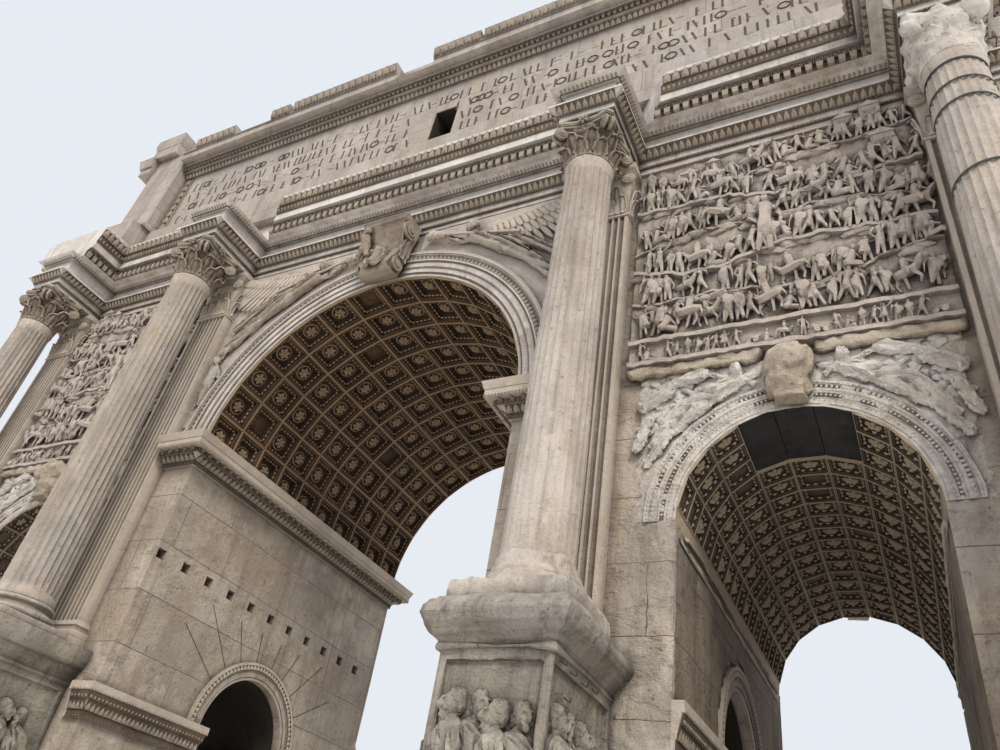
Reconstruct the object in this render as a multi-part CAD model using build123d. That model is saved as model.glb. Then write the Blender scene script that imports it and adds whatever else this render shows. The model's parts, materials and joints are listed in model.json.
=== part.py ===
"""A Roman triumphal arch of marble with three archways.

A tall central archway stands between two low ones. A cross passage runs through both inner piers.
Four columns on pedestals stand free before each long face and carry the breaks of the entablature,
and a hollow attic closes the top. The origin lies on the ground at the centre of the plan. +X runs
along the long face, the main front faces -Y, and +Z is up. All sizes are in millimetres.
"""

from build123d import *
import math
import os

# Plan of the masonry block
wall_half_width = 10950
wall_half_depth = 3515
centre_radius = 3430
side_centre = 7525
side_radius = 1500
passage_radius = 1120

# Levels of the masonry
passage_spring = 3930
side_spring = 6100
centre_spring = 8560
architrave_bottom = 13200
frieze_bottom = 13700
cornice_bottom = 14150
bed_mould_top = 14230
cornice_top = 15230

# Colonnade
inner_column_x = 4710
outer_column_x = 10165
column_y = 4565
pedestal_top = 4420
shaft_bottom_radius = 455
shaft_top_radius = 390
flute_count = 24
flute_depth_share = 0.07
capital_height = 1000
abacus_height = 160
abacus_half = 560
abacus_hollow = 110
abacus_corner = 90
volute_radius = 135
volute_thickness = 150
volute_sides = 6
bell_sides = 8
bell_leaf_reach = 90
base_plinth_height = 230
base_height = 480
base_plinth_half = 620
base_reach = 150
base_ring_sides = 10

# Pedestals
dado_half_width = 640
dado_front = 5260
pedestal_cap_height = 550
pedestal_cap_reach = 250
pedestal_foot_height = 900
pedestal_foot_reach = 340
panel_margin = 130
panel_depth = 35
worn_corner = 420

# Pilasters behind the columns
pilaster_half_width = 480
pilaster_projection = 235
pilaster_shaft_inset = 40
pilaster_cap_height = 1280
pilaster_cap_reach = 110
pilaster_base_height = 480
pilaster_base_reach = 110
pilaster_flutes = 7
pilaster_flute_depth = 35

# Entablature
wall_face_projection = 35
architrave_reach = 200
cornice_projection = 650
ressaut_half_width = 490
ressaut_front = 4950

# Attic
podium_top = 16400
podium_projection = 240
corner_podium_front = 4300
corner_podium_overlap = 80
attic_plinth_height = 280
attic_plinth_reach = 170
attic_wall_thickness = 900
attic_cornice_bottom = 19000
attic_corona_bottom = 19400
attic_corona_top = 19700
attic_cornice_top = 20000
attic_cornice_projection = 650
attic_pilaster_inner_x = 9550
attic_pilaster_front = 3900
roof_slab_thickness = 400
overall_height = 20880
stump_inset = 450
stump_overhang = 250
window_centre_x = 50
window_half_width = 325
window_sill = 16800
window_head = 17950

# Vault linings with their coffers
centre_lining = 350
centre_coffer_rows = 15
centre_coffer_bays = 10
centre_coffer_depth = 150
centre_rib_width = 130
side_lining = 250
side_coffer_rows = 9
side_coffer_bays = 13
side_coffer_depth = 90
side_rib_width = 90
side_border_angle = 7.5
smooth_patch_rows = 3
smooth_patch_bays = 3
extrados_sides = 10

# Arches and their trim
centre_archivolt_width = 600
centre_archivolt_projection = 115
centre_archivolt_sides = 15
side_archivolt_width = 400
side_archivolt_projection = 60
side_archivolt_sides = 11
passage_archivolt_width = 330
passage_archivolt_projection = 60
passage_archivolt_sides = 8
impost_height = 540
impost_projection = 430
passage_impost_height = 530
passage_impost_projection = 150
side_impost_height = 300
side_impost_projection = 110
centre_keystone_width = 1100
centre_keystone_height = 1450
centre_keystone_reach = 560
side_keystone_width = 640
side_keystone_reach = 330

# Sculptured slabs
relief_margin = 110
relief_bottom = 9080
relief_top = 13100
relief_thickness = 85
procession_bottom = 8560
procession_thickness = 105
procession_ledge = 90

# Square sockets left by scaffold beams in the left wall of the central archway
putlog_count = 11
putlog_size = 180
putlog_depth = 250
putlog_level = 6260
putlog_first_y = -3370
putlog_pitch = 626

# Dry joint left between a curved or sloping face and its neighbour
joint = 0.3

COLUMN_XS = (-outer_column_x, -inner_column_x, inner_column_x, outer_column_x)

# The large reliefs fill the walls between the pilasters
relief_x0 = inner_column_x + pilaster_half_width + relief_margin
relief_x1 = outer_column_x - pilaster_half_width - relief_margin

# Stretches of the attic cornice, from x to x, whose gutter moulding or whole front has fallen
lost_gutters = ((-9560, -9000), (-7400, -6000), (-5300, -5150), (950, 1050))
lost_corona = (-1600, -450)

# Mouldings as stacks of members, each with its projection at the foot and at the top, and its height.
# They are in parts: every stack is fitted to the levels and the reach of its own course.
ARCHITRAVE_MEMBERS = [(0, 0, 11), (3, 3, 20), (6, 19, 14), (20, 20, 5)]
BED_MEMBERS = [(6, 23, 8)]
CORNICE_MEMBERS = [(38, 38, 17), (38, 44, 9), (54, 54, 21), (55, 65, 47), (65, 65, 6)]
IMPOST_MEMBERS = [(6, 6, 9), (7, 18, 10), (22, 22, 7), (37, 37, 14), (38, 43, 14)]
PASSAGE_IMPOST_MEMBERS = [(5, 5, 11), (6, 12, 29), (15, 15, 13)]
PEDESTAL_FOOT_MEMBERS = [(34, 34, 45), (30, 8, 45)]
PEDESTAL_CAP_MEMBERS = [(3, 14, 20), (21, 25, 28), (25, 25, 7)]
PILASTER_BASE_MEMBERS = [(11, 11, 20), (10, 3, 28)]
PILASTER_CAP_MEMBERS = [(2, 9, 110), (11, 11, 18)]
ATTIC_PLINTH_MEMBERS = [(17, 17, 10), (15, 5, 14), (5, 5, 4)]
ATTIC_BED_MEMBERS = [(4, 13, 15), (23, 23, 18), (30, 31, 7)]
ATTIC_CORONA_MEMBERS = [(52, 52, 26), (56, 56, 4)]
ATTIC_GUTTER_MEMBERS = [(57, 65, 30)]
BASE_RING_MEMBERS = [(15, 11, 8), (5, 7, 10)]
STUMP_MEMBERS = [(0, 0, 42), (1, 6, 20), (6, 6, 26)]


def moulding(members, bottom, top, reach):
    """Points (projection, height) of a stack of members between two levels and out to a reach."""
    height_unit = (top - bottom) / sum(height for _, _, height in members)
    reach_unit = reach / max(max(foot, head) for foot, head, _ in members)
    points = []
    level = bottom
    for foot, head, height in members:
        points.append((foot * reach_unit, level))
        level += height * height_unit
        points.append((head * reach_unit, level))
    return points


def slab(x0, x1, y0, y1, z0, z1):
    """A square block between two opposite corners."""
    return Pos((x0 + x1) / 2, (y0 + y1) / 2, (z0 + z1) / 2) * Box(abs(x1 - x0), abs(y1 - y0), abs(z1 - z0))


def along_y(section, y0, y1):
    """Extrude a section drawn in X and Z from y0 to y1."""
    start = Plane(origin=(0, y1, 0), x_dir=(1, 0, 0), z_dir=(0, -1, 0))
    return extrude(start * section, amount=y1 - y0)


def along_x(section, x0, x1):
    """Extrude a section drawn in Y and Z from x0 to x1."""
    start = Plane(origin=(x0, 0, 0), x_dir=(0, 1, 0), z_dir=(1, 0, 0))
    return extrude(start * section, amount=x1 - x0)


def flat_sided(rings):
    """The solid whose flat sides join each ring of corners to the next, closed by the two end rings."""
    faces = [Face(Wire.make_polygon(ring, close=True)) for ring in (rings[0], rings[-1])]
    for low, high in zip(rings, rings[1:]):
        for i in range(len(low)):
            j = (i + 1) % len(low)
            faces.append(Face(Wire.make_polygon([low[i], low[j], high[j], high[i]], close=True)))
    return Solid(Shell(faces))


def moulded(outline, profile):
    """A course whose plan outline(projection) follows a profile of (projection, height) points."""
    rings = []
    last = None
    for projection, height in profile:
        if (projection, height) != last:
            rings.append([(x, y, height) for x, y in outline(projection)])
        last = (projection, height)
    return flat_sided(rings)


def prism(outline, bottom, top):
    """An upright prism on a plan outline."""
    return flat_sided([[(x, y, z) for x, y in outline] for z in (bottom, top)])


def fused(solids):
    """One shape from solids that touch."""
    first, *rest = solids
    return first.fuse(*rest)


def rectangle_outline(x0, x1, y0, y1):
    """Outline of a rectangle that grows by the projection on every side."""

    def outline(p):
        return [(x0 - p, y0 - p), (x1 + p, y0 - p), (x1 + p, y1 + p), (x0 - p, y1 + p)]

    return outline


def ring_outline(x, y, sides):
    """Outline of a many-sided ring about a column's axis; the projection is its radius."""

    def outline(p):
        step = 2 * math.pi / sides
        return [(x + p * math.cos(step * i), y + p * math.sin(step * i)) for i in range(sides)]

    return outline


def behind_wall(reach):
    """The space behind the plane of the front wall, which trims what stands against it."""
    return slab(
        -wall_half_width - reach,
        wall_half_width + reach,
        -wall_half_depth,
        wall_half_depth,
        -reach,
        overall_height,
    )


def mirrored_x(shape):
    """The same shape on the other side of the central axis."""
    return mirror(shape, about=Plane.YZ)


def mirrored_y(shape):
    """The same shape at the opposite long face."""
    return mirror(shape, about=Plane.XZ)


def both_faces(shapes):
    """The shapes of the front face and their mirror images at the back."""
    return shapes + [mirrored_y(shape) for shape in shapes]


def save(name, *shapes):
    """Write the solids of one piece to its file."""
    solids = []
    for shape in shapes:
        solids.extend(shape.solids())
    body = solids[0] if len(solids) == 1 else Compound(children=solids)
    body.label = name
    export_step(body, f"parts/{name}.step")


def extrados_points(radius, thickness):
    """Corners of the many-sided back of a vault lining, from the right foot to the left foot."""
    back = (radius + thickness) / math.cos(math.pi / (2 * extrados_sides))
    return [
        (back * math.cos(math.pi * i / extrados_sides), back * math.sin(math.pi * i / extrados_sides))
        for i in range(extrados_sides + 1)
    ]


def vault_void(centre, spring, radius, thickness):
    """Section of the hole that takes a vault lining."""
    gap = joint / math.cos(math.pi / (2 * extrados_sides))
    points = [(centre + x, spring + z) for x, z in extrados_points(radius, thickness + gap)]
    return make_face(Polyline(*points, close=True))


def outer_pier():
    """The pier between a side archway and the end of the arch, up to the springing."""
    return slab(side_centre + side_radius, wall_half_width, -wall_half_depth, wall_half_depth, 0, side_spring)


def inner_pier_half():
    """The part of an inner pier in front of the cross passage, up to the passage's springing."""
    return slab(centre_radius, side_centre - side_radius, -wall_half_depth, -passage_radius, 0, passage_spring)


def passage_vault():
    """The block of an inner pier over the cross passage, with the passage's barrel cut through it."""
    block = slab(
        centre_radius, side_centre - side_radius, -wall_half_depth, wall_half_depth, passage_spring, side_spring
    )
    barrel = along_x(Pos(0, passage_spring) * Circle(passage_radius), centre_radius, side_centre - side_radius)
    return block - barrel


def side_vault():
    """The masonry over a side archway, up to the springing of the central one."""
    depth = wall_half_depth
    block = slab(centre_radius, wall_half_width, -depth, depth, side_spring, centre_spring)
    void = vault_void(side_centre, side_spring, side_radius, side_lining)
    return block - along_y(void, -depth, depth)


def putlog_holes():
    """The row of square scaffold sockets in the left wall of the central archway."""
    sockets = []
    for i in range(putlog_count):
        place = Pos(-centre_radius, putlog_first_y + i * putlog_pitch, putlog_level)
        sockets.append(place * Box(2 * putlog_depth, putlog_size, putlog_size))
    return sockets


def central_vault():
    """The masonry round the central archway, from its springing to the architrave."""
    reach = inner_column_x + pilaster_half_width
    block = slab(-reach, reach, -wall_half_depth, wall_half_depth, centre_spring, architrave_bottom)
    void = vault_void(0, centre_spring, centre_radius, centre_lining)
    return block - along_y(void, -wall_half_depth, wall_half_depth)


def upper_wall():
    """The solid wall over a side archway that carries its large relief."""
    return slab(
        inner_column_x + pilaster_half_width,
        wall_half_width,
        -wall_half_depth,
        wall_half_depth,
        centre_spring,
        architrave_bottom,
    )


def coffering(centre, spring, radius, thickness, rows, bays, depth, rib, border=0, patch=(0, 0)):
    """A barrel lining whose soffit is a lattice of ribs round sunk coffers, one flat facet to a row.

    The border is a plain strip at each springing, as an angle. The patch counts the rows at the crown and
    the bays from the front where the coffers are lost and the soffit is smooth.
    """
    start = math.radians(border)
    step = (math.pi - 2 * start) / rows
    corners = [start + step * i for i in range(rows + 1)]
    if border:
        corners = [0, *corners, math.pi]
    inner = [(centre + radius * math.cos(a), spring + radius * math.sin(a)) for a in reversed(corners)]
    outer = [(centre + x, spring + z) for x, z in extrados_points(radius, thickness)]
    lining = along_y(make_face(Polyline(*(outer + inner), close=True)), -wall_half_depth, wall_half_depth)
    pitch = (2 * wall_half_depth - rib) / bays
    facet = 2 * radius * math.sin(step / 2)
    mid_radius = radius * math.cos(step / 2)
    patch_rows, patch_bays = patch
    first_patch_row = (rows - patch_rows) / 2
    sinkings = []
    for row in range(rows):
        angle = start + step * (row + 0.5)
        in_patch = first_patch_row <= row < first_patch_row + patch_rows
        for bay in range(patch_bays if in_patch else 0, bays):
            y = -wall_half_depth + rib + (pitch - rib) / 2 + bay * pitch
            tool = Box(2 * depth, pitch - rib, facet - rib)
            place = Pos(centre, y, spring) * Rot(0, -math.degrees(angle), 0) * Pos(mid_radius, 0, 0)
            sinkings.append(place * tool)
    return lining - sinkings


def arch_ring(centre, spring, section, sides, start=0):
    """A moulding swept in flat lengths round an arch; the section holds (radius, y) corners."""
    rings = []
    for i in range(sides + 1):
        angle = start + (math.pi - 2 * start) * i / sides
        rings.append([(centre + r * math.cos(angle), y, spring + r * math.sin(angle)) for r, y in section])
    return flat_sided(rings)


def archivolt(centre, spring, radius, width, projection, sides):
    """A moulding round an arch on the front face, which rises outwards to a flat outer band."""
    face = -wall_half_depth
    section = [
        (radius, face),
        (radius, face - projection / 2),
        (radius + width / 2, face - projection),
        (radius + width, face - projection),
        (radius + width, face),
    ]
    return arch_ring(centre, spring, section, sides)


def passage_archivolt(x_face, outward):
    """The plain moulding round a mouth of the cross passage."""
    outer = passage_radius + passage_archivolt_width
    proud = x_face + outward * passage_archivolt_projection
    rings = []
    for i in range(passage_archivolt_sides + 1):
        angle = math.pi * i / passage_archivolt_sides
        corners = [(passage_radius, x_face), (passage_radius, proud), (outer, proud), (outer, x_face)]
        rings.append([(x, r * math.cos(angle), passage_spring + r * math.sin(angle)) for r, x in corners])
    return flat_sided(rings)


def impost():
    """The cornice at the springing of the central vault, which turns both corners of its pier."""
    bottom = centre_spring - impost_height
    pilaster_side = inner_column_x - pilaster_half_width
    reach = impost_projection
    outline = rectangle_outline(centre_radius, pilaster_side, -wall_half_depth, wall_half_depth)
    course = moulded(outline, moulding(IMPOST_MEMBERS, bottom, centre_spring, reach))
    low = bottom - reach
    high = centre_spring + reach
    pier = slab(centre_radius, pilaster_side, -wall_half_depth, wall_half_depth, low, high)
    clear_y = wall_half_depth + 2 * reach
    beyond = slab(pilaster_side, pilaster_side + 2 * reach, -clear_y, clear_y, low, high)
    return course - [pier, beyond]


def passage_impost():
    """The carved band round a front half of an inner pier at the springing of the cross passage."""
    bottom = passage_spring - passage_impost_height
    reach = passage_impost_projection
    core = (centre_radius, side_centre - side_radius, -wall_half_depth, -passage_radius)
    profile = moulding(PASSAGE_IMPOST_MEMBERS, bottom, passage_spring, reach)
    band = moulded(rectangle_outline(*core), profile)
    pedestal_side = inner_column_x - dado_half_width - pedestal_cap_reach - joint
    pedestal_space = slab(
        pedestal_side,
        side_centre - side_radius + 2 * reach,
        -wall_half_depth - 2 * reach,
        -wall_half_depth,
        bottom - reach,
        passage_spring + reach,
    )
    return band - [slab(*core, bottom - reach, passage_spring + reach), pedestal_space]


def side_impost(x_face, inward):
    """The small cornice at the springing of a side archway, on one of its jambs."""
    bottom = side_spring - side_impost_height
    half_way = (bottom + side_spring) / 2
    lower_reach = x_face + inward * side_impost_projection / 2
    upper_reach = x_face + inward * side_impost_projection
    lower = slab(x_face, lower_reach, -wall_half_depth, wall_half_depth, bottom, half_way)
    upper = slab(x_face, upper_reach, -wall_half_depth, wall_half_depth, half_way, side_spring)
    return fused([lower, upper])


def bracket(x, back, levels):
    """A keystone standing out from a plane; each level holds its height, half width and reach."""
    rings = []
    for height, half, reach in levels:
        plan = [(x - half, back - reach), (x + half, back - reach), (x + half, back), (x - half, back)]
        rings.append([(plan_x, plan_y, height) for plan_x, plan_y in plan])
    return flat_sided(rings)


def centre_keystone():
    """The tall bracket over the crown of the central archway, wider and further out at its top."""
    top = architrave_bottom
    height = centre_keystone_height
    half = centre_keystone_width / 2
    reach = centre_keystone_reach
    back = -wall_half_depth - centre_archivolt_projection
    levels = [
        (top - height, half * 0.7, reach * 0.35),
        (top - height * 0.8, half * 0.75, reach * 0.75),
        (top - height * 0.55, half * 0.82, reach * 0.6),
        (top - height * 0.2, half * 0.94, reach * 0.85),
        (top, half, reach),
    ]
    tail_bottom = centre_spring + centre_radius + centre_archivolt_width
    tail = slab(-half * 0.6, half * 0.6, back, -wall_half_depth, tail_bottom, top)
    return fused([bracket(0, back, levels), tail])


def side_keystone():
    """The worn wedge over the crown of a side archway."""
    top = centre_spring - 90
    bottom = side_spring + side_radius - 40
    half = side_keystone_width / 2
    reach = side_keystone_reach
    back = -wall_half_depth - side_archivolt_projection
    levels = [
        (bottom, half * 0.64, reach * 0.6),
        (bottom + (top - bottom) * 0.3, half * 0.74, reach * 0.85),
        (bottom + (top - bottom) * 0.4, half * 0.78, reach * 0.65),
        (top, half, reach),
    ]
    root_bottom = side_spring + side_radius + side_archivolt_width
    root = slab(side_centre - half * 0.8, side_centre + half * 0.8, back, -wall_half_depth, root_bottom, top)
    return fused([bracket(side_centre, back, levels), root])


def relief_panel():
    """The large slab of relief over a side archway."""
    y0 = -wall_half_depth - relief_thickness
    return slab(relief_x0, relief_x1, y0, -wall_half_depth, relief_bottom, relief_top)


def procession_frieze():
    """The low band of small figures under a large relief, with a ledge above and below it."""
    face = -wall_half_depth
    inner = face - procession_thickness
    outer = inner - procession_ledge
    section = [
        (face, procession_bottom),
        (outer, procession_bottom),
        (outer, procession_bottom + procession_ledge),
        (inner, procession_bottom + procession_ledge),
        (inner, relief_bottom - procession_ledge),
        (outer, relief_bottom - procession_ledge),
        (outer, relief_bottom),
        (face, relief_bottom),
    ]
    return flat_sided([[(x, y, z) for y, z in section] for x in (relief_x0, relief_x1)])


def pilaster(x):
    """A fluted pilaster behind a column, with its base and its capital block."""
    bottom = pedestal_top
    top = architrave_bottom
    shaft_bottom = bottom + pilaster_base_height
    shaft_top = top - pilaster_cap_height
    half = pilaster_half_width - pilaster_shaft_inset
    front = -wall_half_depth - pilaster_projection
    pitch = 2 * half / pilaster_flutes
    plan = [(x - half, front)]
    for i in range(pilaster_flutes):
        arris = x - half + (i + 1) * pitch
        plan += [(arris - pitch / 2, front + pilaster_flute_depth), (arris, front)]
    plan += [(x + half, -wall_half_depth), (x - half, -wall_half_depth)]
    shaft = prism(plan, shaft_bottom, shaft_top)
    outline = rectangle_outline(x - half, x + half, front, -wall_half_depth)
    base = moulded(outline, moulding(PILASTER_BASE_MEMBERS, bottom, shaft_bottom, pilaster_base_reach))
    cap = moulded(outline, moulding(PILASTER_CAP_MEMBERS, shaft_top, top, pilaster_cap_reach))
    return fused([base, shaft, cap]) - behind_wall(pilaster_cap_reach)


def pedestal(x, worn):
    """The pedestal under a column: moulded foot, panelled die and cap, standing against the pier.

    Where it is worn, the front right corner of its cap has broken away.
    """
    foot = pedestal_foot_height
    cap = pedestal_top - pedestal_cap_height
    outline = rectangle_outline(x - dado_half_width, x + dado_half_width, -dado_front, -wall_half_depth)
    profile = moulding(PEDESTAL_FOOT_MEMBERS, 0, foot, pedestal_foot_reach)
    profile += [(0, foot), (0, cap)]
    profile += moulding(PEDESTAL_CAP_MEMBERS, cap, pedestal_top, pedestal_cap_reach)
    block = moulded(outline, profile)
    z0 = foot + panel_margin
    z1 = cap - panel_margin
    half = dado_half_width - panel_margin
    cuts = [slab(x - half, x + half, -dado_front - panel_depth, -dado_front + panel_depth, z0, z1)]
    for side in (-1, 1):
        face = x + side * dado_half_width
        y0 = -dado_front + panel_margin
        y1 = -wall_half_depth - panel_margin
        cuts.append(slab(face - panel_depth, face + panel_depth, y0, y1, z0, z1))
    if worn:
        corner_x = x + dado_half_width + pedestal_cap_reach
        corner_y = -dado_front - pedestal_cap_reach
        wedge = Box(worn_corner, 3 * worn_corner, 2 * worn_corner)
        cuts.append(Pos(corner_x, corner_y, pedestal_top) * Rot(20, 25, 45) * wedge)
    return block - [behind_wall(pedestal_foot_reach), *cuts]


def column_base(x, y):
    """A column's base: square plinth and two rounded rings with a hollow between them."""
    z0 = pedestal_top
    z1 = z0 + base_plinth_height
    half = base_plinth_half
    plinth = slab(x - half, x + half, y - half, y + half, z0, z1)
    rings = moulding(BASE_RING_MEMBERS, z1, z0 + base_height, base_reach)
    rings = [(shaft_bottom_radius + reach, level) for reach, level in rings]
    return fused([plinth, moulded(ring_outline(x, y, base_ring_sides), rings)])


def column_shaft(x, y):
    """A tapering shaft with sharp flutes from its base to its capital."""
    step = 2 * math.pi / flute_count
    rings = []
    bottom = pedestal_top + base_height
    top = architrave_bottom - capital_height
    for radius, level in ((shaft_bottom_radius, bottom), (shaft_top_radius, top)):
        ring = []
        for i in range(flute_count):
            for turn, sunk in ((0, 0), (0.5, flute_depth_share)):
                reach = radius * (1 - sunk)
                angle = step * (i + turn)
                ring.append((x + reach * math.cos(angle), y + reach * math.sin(angle), level))
        rings.append(ring)
    return flat_sided(rings)


def abacus_plan(x, y):
    """Plan of a capital's top plate, hollowed on each side and cut at its corners."""
    points = []
    for i in range(4):
        turn = math.pi / 2 * i
        for along, out in (
            (-(abacus_half - abacus_corner), abacus_half),
            (0, abacus_half - abacus_hollow),
            (abacus_half - abacus_corner, abacus_half),
        ):
            points.append(
                (
                    x + out * math.cos(turn) - along * math.sin(turn),
                    y + out * math.sin(turn) + along * math.cos(turn),
                )
            )
    return points


def capital(x, y):
    """A composite capital: bell with its swelling of leaves, corner volutes and hollow-sided top plate."""
    bottom = architrave_bottom - capital_height
    plate_bottom = architrave_bottom - abacus_height
    neck = shaft_top_radius - 15
    leaf_top = (plate_bottom + bottom) / 2
    profile = [
        (neck, bottom),
        (neck + bell_leaf_reach, leaf_top),
        (neck + bell_leaf_reach / 3, leaf_top),
        (neck + bell_leaf_reach, plate_bottom),
    ]
    bell = moulded(ring_outline(x, y, bell_sides), profile)
    pieces = [bell, prism(abacus_plan(x, y), plate_bottom, architrave_bottom)]
    for i in range(4):
        turn = Pos(x, y, plate_bottom - volute_radius) * Rot(0, 0, 45 + 90 * i)
        scroll = extrude(RegularPolygon(volute_radius, volute_sides), volute_thickness / 2, both=True)
        pieces.append(turn * Pos(neck + bell_leaf_reach + volute_radius * 0.7, 0, 0) * Rot(90, 0, 0) * scroll)
    return fused(pieces)


def entablature_outline(projection):
    """Plan of the entablature with its breaks over the eight columns, grown by a projection."""
    face_y = wall_half_depth + wall_face_projection + projection
    face_x = wall_half_width + wall_face_projection + projection
    front_y = ressaut_front + projection
    half = ressaut_half_width + projection
    front = [(-face_x, -face_y)]
    for x in COLUMN_XS:
        front += [(x - half, -face_y), (x - half, -front_y), (x + half, -front_y), (x + half, -face_y)]
    front.append((face_x, -face_y))
    back = [(x, -y) for x, y in reversed(front)]
    return front + back


def architrave():
    """The architrave: two fasciae and a crowning leaf band."""
    profile = moulding(ARCHITRAVE_MEMBERS, architrave_bottom, frieze_bottom, architrave_reach)
    return moulded(entablature_outline, profile)


def frieze():
    """The plain frieze."""
    return moulded(entablature_outline, [(0, frieze_bottom), (0, cornice_bottom)])


def lost_cornice(x, inner):
    """The space over a front column where the cornice has broken away."""
    face = wall_half_depth + wall_face_projection
    reach = cornice_projection * 1.1
    half = ressaut_half_width
    if inner:
        plan = [
            (x - half, -face),
            (x + half, -face),
            (x + half + reach, -face - reach),
            (x + half + reach, -ressaut_front - reach),
            (x - half - reach, -ressaut_front - reach),
            (x - half - reach, -face - reach),
        ]
    else:
        plan = [
            (x - half - reach, -ressaut_front - reach),
            (x + half + reach, -ressaut_front - reach),
            (x + half + reach, -ressaut_front),
            (x - half - reach, -ressaut_front),
        ]
    return prism(plan, bed_mould_top, cornice_top + joint)


def cornice():
    """The main cornice: bed mould, dentil band, corona and gutter moulding, broken over the front columns."""
    bed_reach = cornice_projection * BED_MEMBERS[-1][1] / CORNICE_MEMBERS[-1][1]
    profile = moulding(BED_MEMBERS, cornice_bottom, bed_mould_top, bed_reach)
    profile += moulding(CORNICE_MEMBERS, bed_mould_top, cornice_top, cornice_projection)
    whole = moulded(entablature_outline, profile)
    return whole - [lost_cornice(x, abs(x) == inner_column_x) for x in COLUMN_XS]


def attic_outline(projection):
    """Plan of the attic's walls with the breaks of its corner pilasters, grown by a projection."""
    end = wall_half_width + projection
    front = attic_pilaster_front + projection
    face = wall_half_depth + projection
    inner = attic_pilaster_inner_x - projection
    left = [(-end, -front), (-inner, -front), (-inner, -face)]
    edge = left + [(-x, y) for x, y in reversed(left)]
    return edge + [(x, -y) for x, y in reversed(edge)]


def attic_base():
    """The podium of the attic, which breaks forward at its corners, and the plinth moulding of its walls."""
    reach = wall_half_depth + podium_projection
    end = wall_half_width + podium_projection
    body = slab(-end, end, -reach, reach, cornice_top, podium_top)
    corners = []
    for sx in (-1, 1):
        for sy in (-1, 1):
            inner = sx * (attic_pilaster_inner_x - corner_podium_overlap)
            front = sy * corner_podium_front
            corners.append(slab(inner, sx * end, sy * wall_half_depth, front, cornice_top, podium_top))
    plinth_top = podium_top + attic_plinth_height
    profile = moulding(ATTIC_PLINTH_MEMBERS, podium_top, plinth_top, attic_plinth_reach)
    plinth = moulded(attic_outline, profile) - prism(attic_outline(0), podium_top, plinth_top)
    return fused([body, *corners, plinth])


def attic_front_wall():
    """The front wall of the attic chamber with its small window."""
    inner_y = -wall_half_depth + attic_wall_thickness
    x = wall_half_width
    wall = slab(-x, x, -wall_half_depth, inner_y, podium_top, attic_cornice_bottom)
    window = slab(
        window_centre_x - window_half_width,
        window_centre_x + window_half_width,
        -wall_half_depth - attic_wall_thickness,
        inner_y + attic_wall_thickness,
        window_sill,
        window_head,
    )
    return wall - window


def attic_back_wall():
    """The plain back wall of the attic chamber."""
    inner_y = wall_half_depth - attic_wall_thickness
    x = wall_half_width
    return slab(-x, x, inner_y, wall_half_depth, podium_top, attic_cornice_bottom)


def attic_end_wall():
    """The end wall of the attic chamber, between the front and back walls."""
    inner_y = wall_half_depth - attic_wall_thickness
    inner_x = wall_half_width - attic_wall_thickness
    return slab(inner_x, wall_half_width, -inner_y, inner_y, podium_top, attic_cornice_bottom)


def attic_pilaster(sx, sy):
    """A plain pilaster at a corner of the attic, which runs up past the lost stretch of cornice."""
    return slab(
        sx * attic_pilaster_inner_x,
        sx * wall_half_width,
        sy * wall_half_depth,
        sy * attic_pilaster_front,
        podium_top,
        attic_cornice_top,
    )


def attic_cornice():
    """The crowning cornice of the attic, a ring on the outer half of the walls, gone at the pilasters.

    Its front has lost stretches of the gutter moulding, and of the corona under it.
    """
    reach = attic_cornice_projection
    widest = ATTIC_GUTTER_MEMBERS[-1][1]
    bed_reach = reach * ATTIC_BED_MEMBERS[-1][1] / widest
    corona_reach = reach * ATTIC_CORONA_MEMBERS[-1][1] / widest
    profile = moulding(ATTIC_BED_MEMBERS, attic_cornice_bottom, attic_corona_bottom, bed_reach)
    profile += moulding(ATTIC_CORONA_MEMBERS, attic_corona_bottom, attic_corona_top, corona_reach)
    profile += moulding(ATTIC_GUTTER_MEMBERS, attic_corona_top, attic_cornice_top, reach)
    outline = rectangle_outline(-wall_half_width, wall_half_width, -wall_half_depth, wall_half_depth)
    inset = attic_wall_thickness / 2
    top = attic_cornice_top + reach
    bottom = attic_cornice_bottom - reach
    cuts = [
        slab(
            -wall_half_width + inset,
            wall_half_width - inset,
            -wall_half_depth + inset,
            wall_half_depth - inset,
            bottom,
            top,
        )
    ]
    for sx in (-1, 1):
        for sy in (-1, 1):
            front = sy * (wall_half_depth + 2 * reach)
            inner = sx * attic_pilaster_inner_x
            cuts.append(slab(inner, sx * wall_half_width, sy * wall_half_depth, front, bottom, top))
    outer_y = -wall_half_depth - 2 * reach
    for x0, x1 in lost_gutters:
        cuts.append(slab(x0, x1, outer_y, -wall_half_depth - bed_reach, attic_corona_top, top))
    cuts.append(slab(*lost_corona, outer_y, -wall_half_depth - bed_reach, attic_corona_bottom + joint, top))
    return moulded(outline, profile) - cuts


def attic_roof():
    """The roof slab on the inner half of the attic walls."""
    inset = attic_wall_thickness / 2
    return slab(
        -wall_half_width + inset,
        wall_half_width - inset,
        -wall_half_depth + inset,
        wall_half_depth - inset,
        attic_cornice_bottom,
        attic_cornice_bottom + roof_slab_thickness,
    )


def corner_block(sx, sy):
    """The stump of a statue base on a corner of the attic."""
    reach = stump_overhang / 4
    x_inner = attic_pilaster_inner_x + stump_inset + reach
    x_outer = wall_half_width + stump_overhang - reach
    y_inner = wall_half_depth - stump_inset + reach
    y_outer = attic_pilaster_front + stump_overhang - reach
    outline = rectangle_outline(*sorted((sx * x_inner, sx * x_outer)), *sorted((sy * y_inner, sy * y_outer)))
    return moulded(outline, moulding(STUMP_MEMBERS, attic_cornice_top, overall_height, reach))


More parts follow.
